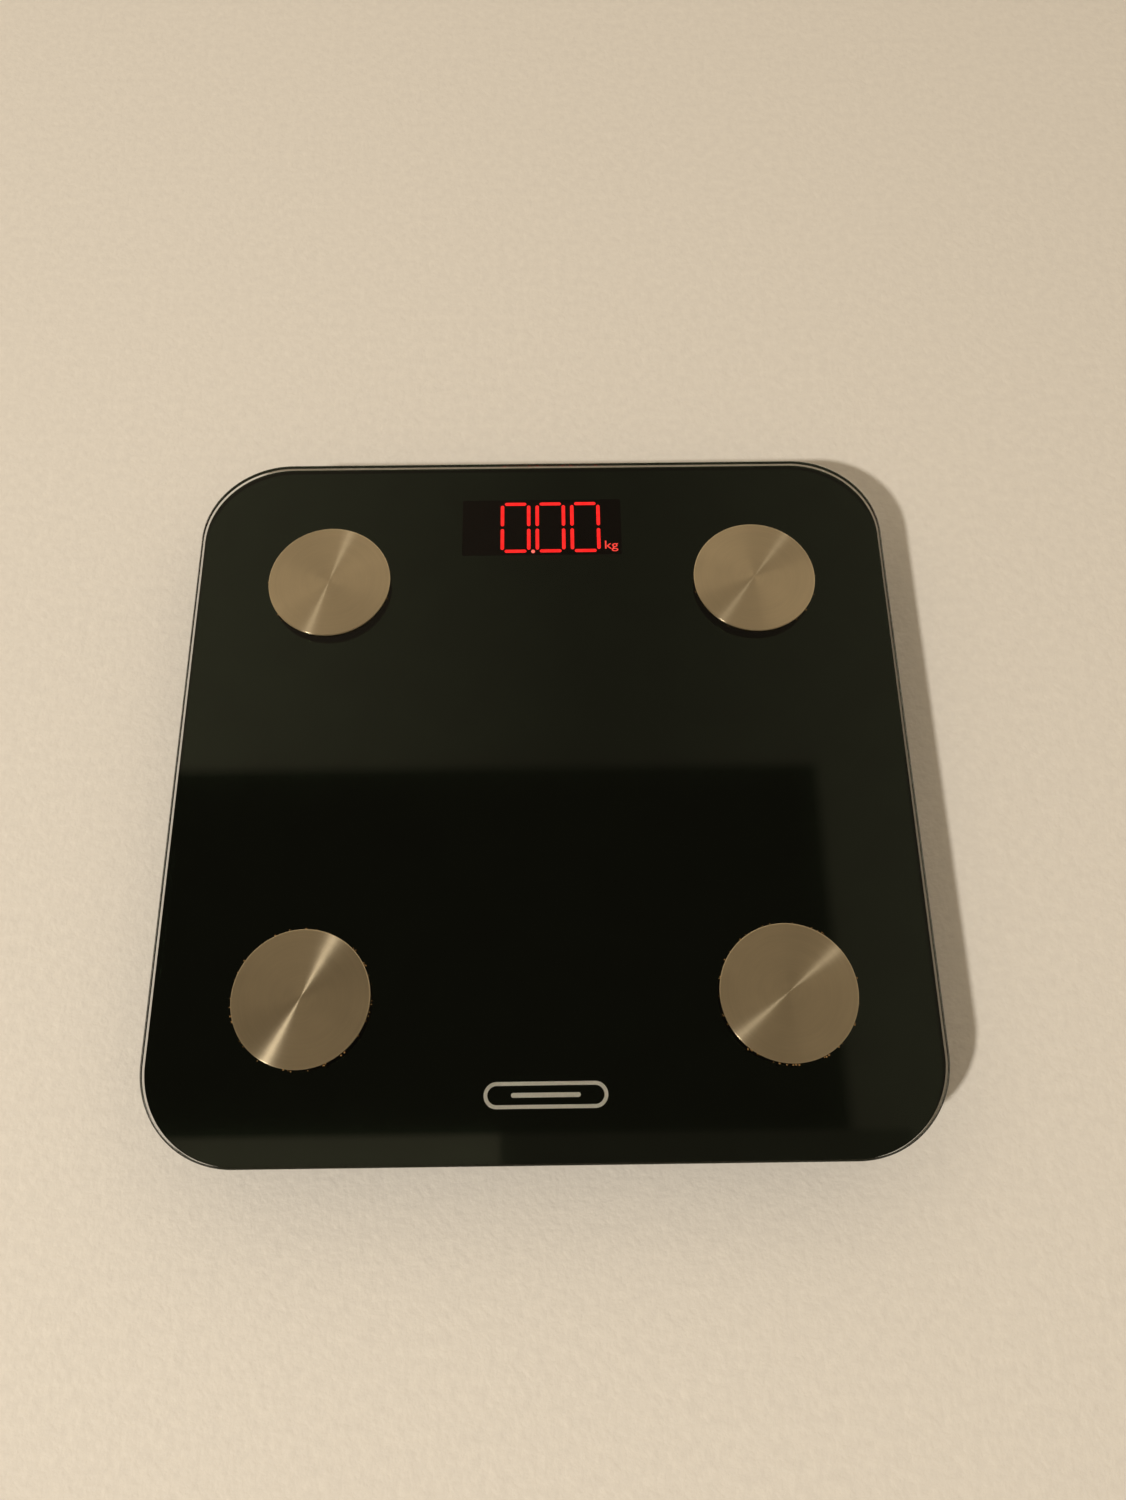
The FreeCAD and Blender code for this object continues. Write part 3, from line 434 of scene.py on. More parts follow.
@dataclass(frozen=True)
class MouldedPlastic:
    """Moulded plastic: spark-eroded grain, faint mottling and gloss that varies a little."""

    name: str
    colour: Colour
    gloss: float = 0.5
    grain: float = 2600.0
    relief: float = 0.00002

    def build(self) -> bpy.types.Material:
        """Returns the material."""
        web = Web(self.name).set(IOR=1.5)
        where = web.place()
        cloud = web.noise(where, 38.0, 4.0)
        grain = web.noise(where, self.grain, 2.0, 0.6)
        web.colour(web.blend(web.remap(cloud, 0.3, 0.7, 0.0, 1.0), scaled(self.colour, 0.86),
                             scaled(self.colour, 1.18)))
        web.roughness(web.remap(web.noise(where, 120.0, 5.0), 0.3, 0.7, self.gloss - 0.06, self.gloss + 0.08))
        web.bump(grain, self.relief)
        return web.material


@dataclass(frozen=True)
class Rubber:
    """Rubber: dull, with a fine even grain and paler dust in broad patches."""

    name: str
    colour: Colour
    dust: Colour = (0.16, 0.15, 0.14)

    def build(self) -> bpy.types.Material:
        """Returns the material."""
        web = Web(self.name).set(IOR=1.5, Specular_IOR_Level=0.35)
        where = web.place()
        patch = web.remap(web.noise(where, 150.0, 6.0, 0.65), 0.5, 0.82, 0.0, 0.45)
        web.colour(web.blend(patch, self.colour, self.dust))
        web.roughness(web.remap(web.noise(where, 400.0), 0.3, 0.7, 0.68, 0.86))
        web.bump(web.noise(where, 4200.0, 2.0), 0.00002)
        return web.material


@dataclass(frozen=True)
class PlatedMetal:
    """Plated or bare sheet metal: bright, with fine scratches and a little tarnish."""

    name: str
    colour: Colour
    gloss: float = 0.28

    def build(self) -> bpy.types.Material:
        """Returns the material."""
        web = Web(self.name).set(Metallic=1.0)
        where = web.place()
        tarnish = web.remap(web.noise(where, 260.0, 5.0, 0.6), 0.35, 0.75, 0.0, 1.0)
        web.colour(web.blend(tarnish, self.colour, scaled(self.colour, 0.78)))
        web.roughness(web.remap(web.noise(where, 900.0, 4.0), 0.3, 0.7, self.gloss - 0.07, self.gloss + 0.1))
        web.bump(web.noise(where, 5000.0, 2.0), 0.000004)
        return web.material


@dataclass(frozen=True)
class CircularBrushed:
    """Stainless steel brushed round the middle of its disc, as the from_centre attribute gives it.

    The steel is rough along each spoke and smooth round the disc, so a lamp draws one thin line across it.
    The grooves that show are noise that changes fast with the distance from the middle and slowly round it.
    """

    name: str
    colour: Colour
    gloss: float = 0.285
    tilt: float = 0.03
    grooves: float = 1500.0

    def build(self) -> bpy.types.Material:
        """Returns the material."""
        web = Web(self.name).set(Metallic=1.0, Anisotropic=1.0)
        from_centre = web.node("ShaderNodeAttribute", attribute_name="from_centre").outputs["Vector"]
        reach = web.vector("LENGTH", from_centre).outputs["Value"]
        spoke = web.vector("NORMALIZE", from_centre).outputs["Vector"]
        groove = web.noise(self.polar(web, spoke, reach, self.grooves, 0.9), 1.0, 2.0, 0.6)
        band = web.noise(self.polar(web, spoke, reach, 260.0, 0.8), 1.0, 3.0)
        smear = web.noise(web.place(), 70.0, 6.0, 0.65)
        tone = web.maths("ADD", web.remap(groove, 0.3, 0.7, 0.0, 0.5), web.remap(band, 0.3, 0.7, 0.0, 0.5))
        web.colour(web.blend(tone, scaled(self.colour, 0.96), scaled(self.colour, 1.04)))
        web.roughness(web.maths("ADD", web.remap(groove, 0.3, 0.7, self.gloss - 0.006, self.gloss + 0.006),
                                web.remap(smear, 0.5, 0.8, 0.0, 0.04)))
        slope = web.maths("MULTIPLY", web.maths("SUBTRACT", groove, 0.5), self.tilt)
        lean = web.vector("SCALE", spoke)
        web.link(slope, lean.inputs["Scale"])
        tilted = web.vector("ADD", web.node("ShaderNodeNewGeometry").outputs["Normal"])
        web.link(lean.outputs["Vector"], tilted.inputs[1])
        web.link(web.vector("NORMALIZE", tilted.outputs["Vector"]).outputs["Vector"],
                 web.surface.inputs["Normal"])
        web.link(spoke, web.surface.inputs["Tangent"])
        return web.material

    @staticmethod
    def polar(web: Web, spoke: bpy.types.NodeSocket, reach: bpy.types.NodeSocket, fast: float,
              slow: float) -> bpy.types.NodeSocket:
        """A place for noise: the distance from the middle times fast, the spoke's direction times slow."""
        turn = web.vector("SCALE", spoke, Scale=slow)
        lift = web.node("ShaderNodeCombineXYZ")
        web.link(web.maths("MULTIPLY", reach, fast), lift.inputs["Z"])
        both = web.vector("ADD", turn.outputs["Vector"])
        web.link(lift.outputs["Vector"], both.inputs[1])
        return both.outputs["Vector"]


@dataclass(frozen=True)
class ClearGlass:
    """Tempered float glass: clear, faintly green in its depth, with a trace of wipe marks on the skin."""

    name: str
    tint: Colour = (0.80, 0.93, 0.88)
    density: float = 7.0

    def build(self) -> bpy.types.Material:
        """Returns the material."""
        web = Web(self.name).set(Base_Color=(1.0, 1.0, 1.0), IOR=1.52, Transmission_Weight=1.0)
        web.roughness(web.remap(web.noise(web.place(), 26.0, 5.0, 0.6), 0.5, 0.8, 0.0, 0.02))
        depth = web.node("ShaderNodeVolumeAbsorption", Density=self.density)
        depth.inputs["Color"].default_value = (*self.tint, 1.0)
        web.link(depth.outputs["Volume"], web.tree.nodes["Material Output"].inputs["Volume"])
        return web.material


@dataclass(frozen=True)
class BackPrint:
    """Black print in contact with the glass: a dark mirror with hardly any light of its own."""

    name: str
    mirror: Colour = (0.027, 0.046, 0.031)
    gloss: float = 0.05

    def build(self) -> bpy.types.Material:
        """Returns the material."""
        web = Web(self.name).set(Metallic=1.0)
        where = web.place()
        cloud = web.remap(web.noise(where, 60.0, 4.0), 0.35, 0.65, 0.0, 1.0)
        web.colour(web.blend(cloud, scaled(self.mirror, 0.93), scaled(self.mirror, 1.07)))
        web.roughness(web.remap(web.noise(where, 900.0, 3.0), 0.3, 0.7, self.gloss - 0.02, self.gloss + 0.03))
        return web.material


@dataclass(frozen=True)
class Smoked:
    """A dark filter that hides everything behind it but a lit bar."""

    name: str
    colour: Colour = (0.0030, 0.0014, 0.0010)

    def build(self) -> bpy.types.Material:
        """Returns the material."""
        web = Web(self.name).set(Specular_IOR_Level=0.0)
        where = web.place()
        web.colour(web.blend(web.noise(where, 300.0), scaled(self.colour, 0.7), scaled(self.colour, 1.3)))
        web.roughness(web.remap(web.noise(where, 500.0), 0.3, 0.7, 0.5, 0.6))
        return web.material


@dataclass(frozen=True)
class Glow:
    """A lit light guide, mottled at random between its colour and a second red."""

    name: str
    colour: Colour
    core: Colour
    power: float

    def build(self) -> bpy.types.Material:
        """Returns the material."""
        web = Web(self.name).set(Base_Color=scaled(self.colour, 0.3), Roughness=0.5,
                                 Emission_Strength=self.power)
        mottle = web.remap(web.noise(web.place(), 420.0, 2.0), 0.35, 0.7, 0.0, 1.0)
        web.link(web.blend(mottle, self.colour, self.core), web.surface.inputs["Emission Color"])
        return web.material


@dataclass(frozen=True)
class PaleInk:
    """Pale ink of the plain mark."""

    name: str
    colour: Colour

    def build(self) -> bpy.types.Material:
        """Returns the material."""
        web = Web(self.name).set(IOR=1.5)
        where = web.place()
        web.colour(web.blend(web.noise(where, 900.0), scaled(self.colour, 0.9), scaled(self.colour, 1.06)))
        web.roughness(web.remap(web.noise(where, 1500.0), 0.3, 0.7, 0.4, 0.55))
        return web.material


@dataclass(frozen=True)
class CircuitBoard:
    """Solder mask over copper: green, with paler lanes where tracks run."""

    name: str
    mask: Colour = (0.008, 0.075, 0.03)
    track: Colour = (0.02, 0.16, 0.06)

    def build(self) -> bpy.types.Material:
        """Returns the material."""
        web = Web(self.name).set(IOR=1.5, Coat_Weight=0.4, Coat_Roughness=0.15)
        where = web.place()
        lanes = web.node("ShaderNodeTexBrick", Scale=90.0, offset=0.4, Mortar_Size=0.06, Brick_Width=1.7,
                         Row_Height=0.33)
        web.link(where, lanes.inputs["Vector"])
        web.colour(web.blend(lanes.outputs["Fac"], self.mask, self.track))
        web.roughness(web.remap(web.noise(where, 700.0), 0.3, 0.7, 0.3, 0.42))
        web.bump(lanes.outputs["Fac"], 0.00003)
        return web.material


@dataclass(frozen=True)
class CellJacket:
    """A plain dry cell's jacket: dark foil with a bright band near one end of each cell."""

    name: str
    body: Colour = (0.018, 0.022, 0.026)
    band: Colour = (0.50, 0.30, 0.06)

    def build(self) -> bpy.types.Material:
        """Returns the material."""
        web = Web(self.name).set(Metallic=0.6, Coat_Weight=0.5, Coat_Roughness=0.1)
        where = web.place()
        split = web.node("ShaderNodeSeparateXYZ")
        web.link(where, split.inputs[0])
        end = web.maths("GREATER_THAN", split.outputs["X"], 0.0085)
        web.colour(web.blend(end, self.body, self.band))
        web.roughness(web.remap(web.noise(where, 300.0), 0.3, 0.7, 0.22, 0.34))
        return web.material


@dataclass(frozen=True)
class Amber:
    """Set bonding adhesive: amber, glossy and lumpy."""

    name: str
    colour: Colour = (0.34, 0.2, 0.075)

    def build(self) -> bpy.types.Material:
        """Returns the material."""
        web = Web(self.name).set(IOR=1.5)
        where = web.place()
        lump = web.noise(where, 1400.0, 4.0, 0.6)
        web.colour(web.blend(web.remap(lump, 0.3, 0.7, 0.0, 1.0), scaled(self.colour, 0.45), self.colour))
        web.roughness(web.remap(lump, 0.3, 0.7, 0.3, 0.5))
        web.bump(lump, 0.00008)
        return web.material


# ---- sub-assemblies -------------------------------------------------------------------------------------
def centre_of(node: str) -> tuple[float, float]:
    """The middle of a CAD node's box in plan."""
    low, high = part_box(node)
    return ((low[0] + high[0]) / 2, (low[1] + high[1]) / 2)


def enter(piece: bpy.types.Object, finish: bpy.types.Material, slot: str = "", *nodes: str,
          body: str = PLATFORM) -> bpy.types.Object:
    """Dresses a new piece, seats it on its body and hides the CAD nodes it stands for.

    Args:
        piece: The new piece.
        finish: Its material.
        slot: The record's material slot, or nothing for a piece that has none; not used.
        nodes: The CAD nodes that it stands for, if any.
        body: The body that it rides on.

    Returns:
        The same piece.
    """
    piece.data.materials.clear()
    piece.data.materials.append(finish)
    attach(piece, body)
    if nodes:
        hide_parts(*nodes)
    LOG.info("%s: %d faces", piece.name, len(piece.data.polygons))
    return piece


@dataclass
class GlassPlatform:
    """The glass, and the print and the plain mark in contact with its underside."""

    corner: float = 35.0 * MM
    chamfer: float = 0.6 * MM
    arris: float = 0.12 * MM
    contact: float = 0.03 * MM
    film_inset: float = 0.7 * MM
    stud_hole: float = 2.2 * MM
    window: tuple[float, float] = (66.0 * MM, 26.6 * MM)
    window_corner: float = 0.8 * MM
    mark_size: tuple[float, float] = (43.0 * MM, 9.0 * MM)
    mark_line: float = 1.3 * MM
    mark_y: float = -117.0 * MM

    def __post_init__(self) -> None:
        """Takes the levels and the reach from the frame."""
        low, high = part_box("glass_platform")
        self.half = (high[0] - low[0]) / 2
        self.low, self.high = low[2], high[2]
        self.film_half = self.half - self.film_inset
        self.film_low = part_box("backing_film")[0][2]

    def stud_drill(self) -> bpy.types.Object:
        """Four upright rods where the electrode studs pass."""
        rods = []
        for corner in Corner:
            place = centre_of(corner.node + "_electrode")
            reach = [(self.stud_hole, self.film_low - 5 * MM), (self.stud_hole, self.high + 5 * MM)]
            rods.append(turned(reach, place, 40))
        return Shell.together(rods).piece("stud_drill")

    def glass(self) -> bpy.types.Object:
        """The slab: a flat underside, a polished chamfer, a flat side, a second chamfer and a flat top."""
        cut, low, high = self.chamfer, self.low, self.high
        corners = [(cut + 1.2 * MM, low), (cut, low), (0.0, low + cut), (0.0, high - cut), (cut, high),
                   (cut + 1.2 * MM, high)]
        shell = slab((self.half, self.half), self.corner, softened(corners, self.arris), steps=40)
        piece = shell.piece("platform_glass", 50.0)
        carve(piece, self.stud_drill())
        return piece

    def print_sheet(self) -> bpy.types.Object:
        """The print with its window, its face just inside the glass so that no air lies between them."""
        inset = self.half - self.film_half
        edge = [(0.0, self.film_low), (0.0, self.low + self.contact)]
        shell = slab((self.film_half, self.film_half), self.corner - inset, edge, steps=40)
        piece = shell.piece("glass_back_print")
        carve(piece, self.stud_drill())
        hole = slab((self.window[0] / 2, self.window[1] / 2), self.window_corner,
                    [(0.0, self.film_low - MM), (0.0, self.low + MM)], centre_of("display_filter"), 6)
        carve(piece, hole.piece("window_drill"))
        return piece

    def mark(self) -> bpy.types.Object:
        """A plain bar inside a plain outline with round ends, where such scales carry a name."""
        low, high = self.low - 0.05 * MM, self.low + self.contact + 0.02 * MM
        length, width = self.mark_size
        outer = stadium(length, width, False, 24)
        inner = stadium(length - 2 * self.mark_line, width - 2 * self.mark_line, False, 24)
        rings = [np.column_stack([flat, np.full(len(flat), height)])
                 for flat, height in ((inner, low), (outer, low), (outer, high), (inner, high))]
        points = np.concatenate(rings + rings[:1])
        around = len(outer)
        faces = ring_faces(5, around)
        faces = [tuple(corner % (4 * around) for corner in face) for face in faces]
        hoop = Shell(points[:4 * around] + np.array([0.0, self.mark_y, 0.0]), faces)
        bar = prism(stadium(length * 0.56, 1.6 * MM, False, 10), low, high, (0.0, self.mark_y))
        return Shell.together([hoop, bar]).piece("plain_mark")

    def build(self) -> None:
        """Builds and dresses the glass, the print and the mark."""
        enter(self.glass(), ClearGlass("clear_tempered_glass").build(), "platform_glass", "glass_platform")
        enter(self.print_sheet(), BackPrint("black_back_print").build(), "glass_print", "backing_film")
        enter(self.mark(), PaleInk("pale_mark_ink", (0.80, 0.80, 0.74)).build())


@dataclass
class Electrodes:
    """The four steel discs with their studs, and the adhesive that squeezes out round them."""

    edge: float = 0.3 * MM
    stud: float = 1.5 * MM
    colour: Colour = (0.75, 0.655, 0.475)

    def disc(self, corner: Corner) -> bpy.types.Object:
        """One disc: a rounded rim, a flat face and the stud under it, with from_centre for its brushing."""
        node = corner.node + "_electrode"
        low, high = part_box(node)
        place = centre_of(node)
        radius = (high[0] - low[0]) / 2
        top, under = high[2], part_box("electrode_adhesive_rings")[1][2]
        turn = np.linspace(0, np.pi / 2, 6)
        rim = [(radius - self.edge + self.edge * math.cos(t), top - self.edge + self.edge * math.sin(t))
               for t in turn]
        profile = [(self.stud * 0.5, low[2]), (self.stud, low[2] + 0.4 * MM), (self.stud, under),
                   (radius - 0.15 * MM, under), (radius, under + 0.15 * MM)] + rim
        profile += [(radius - self.edge - 0.05 * MM, top), (radius * 0.5, top), (0.4 * MM, top)]
        piece = turned(profile, place, 160).piece(corner.node + "_electrode_disc", 40.0)
        points = np.empty(len(piece.data.vertices) * 3)
        piece.data.vertices.foreach_get("co", points)
        spoke = points.reshape(-1, 3) - np.array([place[0], place[1], 0.0])
        spoke[:, 2] = 0.0
        layer = piece.data.attributes.new("from_centre", "FLOAT_VECTOR", "POINT")
        layer.data.foreach_set("vector", spoke.ravel())
        return piece

    def crumbs(self, corner: Corner, seed: int) -> bpy.types.Object:
        """Beads of set adhesive round a disc's rim.

        Each bead is a small ball squashed at random: its points are the middle plus size times
        (cos a cos b, sin a cos b, sin b), over a coarse grid of a and b.
        """
        low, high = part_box(corner.node + "_electrode")
        place = centre_of(corner.node + "_electrode")
        radius = (high[0] - low[0]) / 2
        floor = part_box("glass_platform")[1][2]
        draw = np.random.default_rng(seed)
        beads = []
        count = 46 if corner.value[1] < 0 else 12
        for angle in draw.uniform(0, 2 * np.pi, count):
            size = draw.uniform(0.12, 0.34) * MM * (1.0 if corner.value[1] < 0 else 0.7)
            reach = radius + draw.uniform(0.0, 0.55) * MM
            middle = np.array([place[0] + reach * math.cos(angle), place[1] + reach * math.sin(angle),
                               floor + size * 0.55])
            squash = np.array([draw.uniform(0.8, 1.6), draw.uniform(0.8, 1.4), 0.6])
            beads.append(self.bead(middle, size * squash))
        return Shell.together(beads).piece(corner.node + "_adhesive_crumbs", 80.0)

    @staticmethod
    def bead(middle: np.ndarray, size: np.ndarray) -> Shell:
        """A small ball as rings of latitude."""
        turn = np.linspace(0, 2 * np.pi, 9, endpoint=False)
        rise = np.radians([-75.0, -35.0, 0.0, 35.0, 75.0])[:, None]
        unit = np.stack([np.cos(turn) * np.cos(rise), np.sin(turn) * np.cos(rise),
                         np.broadcast_to(np.sin(rise), (5, 9))], axis=-1)
        return lofted(middle + size * unit)

    def build(self) -> None:
        """Builds and dresses the four discs and their adhesive."""
        steel = CircularBrushed("circular_brushed_steel", self.colour).build()
        amber = Amber("set_adhesive").build()
        for index, corner in enumerate(Corner):
            enter(self.disc(corner), steel, "brushed_electrode", corner.node + "_electrode")
            enter(self.crumbs(corner, 11 + index), amber, "adhesive")


@dataclass
class Display:
    """The dark window, its lit digits and the unit sign."""

    places: tuple = (BLANK, ZERO, ZERO, ZERO)
    pitch: float = 14.5 * MM
    first_x: float = -25.4 * MM
    digit: tuple[float, float] = (12.4 * MM, 24.1 * MM)
    stroke: float = 1.45 * MM
    flat_length: float = 9.0 * MM
    tall_length: float = 10.0 * MM
    point: float = 1.6 * MM
    sign_size: float = 6.0 * MM
    window_half: tuple[float, float] = (33.3 * MM, 13.6 * MM)
    contact: float = 0.045 * MM
    red: Colour = (1.0, 0.006, 0.008)

    def __post_init__(self) -> None:
        """Takes the levels from the frame."""
        self.y = centre_of("display_filter")[1]
        self.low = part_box("digit_segments")[0][2]
        self.guide_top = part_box("digit_segments")[1][2]
        self.glass_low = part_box("glass_platform")[0][2]

    def bars(self, lit: bool) -> list[Shell]:
        """The bars that are lit, up to the glass, or the ones that are dark, down in the module.

        Args:
            lit: Which of the two to make.

        Returns:
            One prism for each bar.
        """
        top = self.glass_low + self.contact if lit else self.guide_top
        dx, dy = (self.digit[0] - self.stroke) / 2, (self.digit[1] - self.stroke) / 4
        made = []
        for index, shown in enumerate(self.places):
            x = self.first_x + self.pitch * index
            for bar in Bar:
                if (bar in shown) != lit:
                    continue
                across, along, upright = bar.value
                length = self.tall_length if upright else self.flat_length
                outline = stadium(length, self.stroke, upright)
                made.append(prism(outline, self.low, top, (x + across * dx, self.y + along * dy)))
        return made

    def points(self) -> Shell:
        """The lit decimal point, left of the third place."""
        x = self.first_x + self.pitch * 1.5
        y = self.y - self.digit[1] / 2 + self.stroke / 2 - 0.2 * MM
        top = self.glass_low + self.contact
        return turned([(self.point / 2, self.low), (self.point / 2, top)], (x, y), 24)

    def unit_sign(self) -> bpy.types.Object:
        """The unit sign, kilograms, as small raised letters right of the last place."""
        curve = bpy.data.curves.new("unit_sign", "FONT")
        curve.body = "kg"
        curve.size = self.sign_size
        curve.extrude = 0.3 * MM
        holder = bpy.data.objects.new("unit_sign_letters", curve)
        bpy.context.scene.collection.objects.link(holder)
        bpy.context.view_layer.update()
        mesh = bpy.data.meshes.new_from_object(holder.evaluated_get(bpy.context.evaluated_depsgraph_get()))
        bpy.data.objects.remove(holder)
        x = self.first_x + self.pitch * 3 + self.digit[0] / 2 + 1.4 * MM
        y = self.y - self.digit[1] / 2 + 1.5 * MM
        stretch = Matrix.Diagonal((1.08, 0.92, 1.0, 1.0))
        mesh.transform(Matrix.Translation((x, y, self.glass_low + self.contact - 0.3 * MM)) @ stretch)
        piece = bpy.data.objects.new("unit_sign", mesh)
        bpy.context.scene.collection.objects.link(piece)
        return piece

    def filter(self) -> bpy.types.Object:
        """The smoked filter, in contact with the glass behind the window."""
        low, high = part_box("display_filter")
        half = ((high[0] - low[0]) / 2, (high[1] - low[1]) / 2)
        step = [(0.0, low[2]), (0.0, high[2])]
        base = slab(half, 2.0 * MM, step, centre_of("display_filter"), 8)
        rise = [(0.0, high[2] - 0.05 * MM), (0.0, self.glass_low + 0.02 * MM)]
        pad = slab(self.window_half, 0.8 * MM, rise, centre_of("display_filter"), 8)
        return Shell.together([base, pad]).piece("smoked_filter")

    def build(self) -> None:
        """Builds and dresses the filter, the bars and the sign."""
        enter(self.filter(), Smoked("smoked_filter").build(), "display_filter", "display_filter")
        glow = Glow("red_light_guide", self.red, (1.0, 0.02, 0.018), 1.15).build()
        lit = Shell.together(self.bars(True)).piece("lit_digit_bars", 60.0)
        enter(lit, glow, "segments_lit", "digit_segments")
        point_glow = Glow("red_point", (1.0, 0.14, 0.1), (1.0, 0.2, 0.16), 1.15).build()
        enter(self.points().piece("lit_point", 60.0), point_glow, "segments_lit")
        sign_glow = Glow("red_sign", (0.80, 0.045, 0.03), (0.95, 0.06, 0.045), 1.25).build()
        enter(self.unit_sign(), sign_glow, "segments_lit")
        dark = Shell.together(self.bars(False)).piece("dark_digit_bars", 60.0)
        unlit = MouldedPlastic("unlit_light_guide", (0.22, 0.2, 0.19), 0.4).build()
        enter(dark, unlit)


@dataclass
class Furnishings:
    """Finishes for the CAD nodes whose shapes show or are shut inside as they are."""

    def table(self) -> dict[str, object]:
        """Each finish, with the slots that it dresses."""
        return {
            "tray_plastic": MouldedPlastic("black_tray_plastic", (0.020, 0.020, 0.021), 0.46),
            "foam": Rubber("closed_cell_foam", (0.018, 0.018, 0.018)),
            "adhesive": Amber("bonding_adhesive"),
            "washer_fibre": MouldedPlastic("red_fibre", (0.32, 0.05, 0.03), 0.7),
            "plated_contacts": PlatedMetal("nickel_plate", (0.72, 0.70, 0.64), 0.22),
            "fastener_steel": PlatedMetal("zinc_plate", (0.60, 0.60, 0.60), 0.3),
            "gauge_silicone": Rubber("white_silicone", (0.72, 0.72, 0.70), (0.6, 0.6, 0.58)),
            "board_laminate": CircuitBoard("green_board"),
            "chip_epoxy": MouldedPlastic("black_epoxy", (0.014, 0.014, 0.015), 0.55),
            "shield_can": PlatedMetal("pressed_shield", (0.66, 0.66, 0.65), 0.34),
            "capacitor_sleeve": MouldedPlastic("blue_sleeve", (0.012, 0.03, 0.12), 0.35),
            "header_plastic": MouldedPlastic("natural_nylon", (0.62, 0.58, 0.47), 0.5),
            "display_housing": MouldedPlastic("display_black", (0.008, 0.008, 0.008), 0.6),
            "button_plastic": MouldedPlastic("grey_keycap", (0.12, 0.12, 0.125), 0.42),
            "battery_jacket": CellJacket("cell_jacket"),
            "lead_battery": MouldedPlastic("red_lead_skin", (0.42, 0.012, 0.012), 0.35),
            "foot_plastic": MouldedPlastic("foot_plastic", (0.026, 0.026, 0.027), 0.42),
            "foot_rubber": Rubber("grey_foot_rubber", (0.075, 0.075, 0.077)),
            "load_cell_steel": PlatedMetal("spring_steel", (0.58, 0.57, 0.55), 0.3),
            "holder_plastic": MouldedPlastic("natural_holder_plastic", (0.55, 0.54, 0.50), 0.5),
            "lead_cell": MouldedPlastic("pale_lead_skin", (0.50, 0.50, 0.48), 0.38),
            "lead_electrode": MouldedPlastic("black_lead_skin", (0.02, 0.02, 0.02), 0.38),
        }

    def build(self) -> None:
        """Assigns a finish to every CAD node that is still shown."""
        slots = {part["node"]: part["material_slot"] for part in frame["record"]["subparts"]}
        made = {slot: finish.build() for slot, finish in self.table().items()}
        for name, shown in frame["nodes"].items():
            finish = made.get(slots[name])
            if finish is None:
                continue
            if not shown.material_slots:
                shown.data.materials.append(finish)
            for held in shown.material_slots:
                held.material = finish
            LOG.info("%s dressed in %s", name, finish.name)


# ---- studio ---------------------------------------------------------------------------------------------
@dataclass(frozen=True)
class Panel:
    """A rectangle of ceiling that the glass mirrors: its span across and along, and its edge's softness."""

    wide: tuple[float, float]
    deep: tuple[float, float]
    soft: float

    def mask(self, web: Web, across: bpy.types.NodeSocket,
             along: bpy.types.NodeSocket) -> bpy.types.NodeSocket:
        """1 inside the rectangle and 0 outside it."""
        sides = []
        for value, (low, high) in ((across, self.wide), (along, self.deep)):
            sides.append(web.remap(value, low - self.soft, low + self.soft, 0.0, 1.0))
            sides.append(web.remap(value, high - self.soft, high + self.soft, 1.0, 0.0))
        inside = sides[0]
        for side in sides[1:]:
            inside = web.maths("MULTIPLY", inside, side)
        return inside


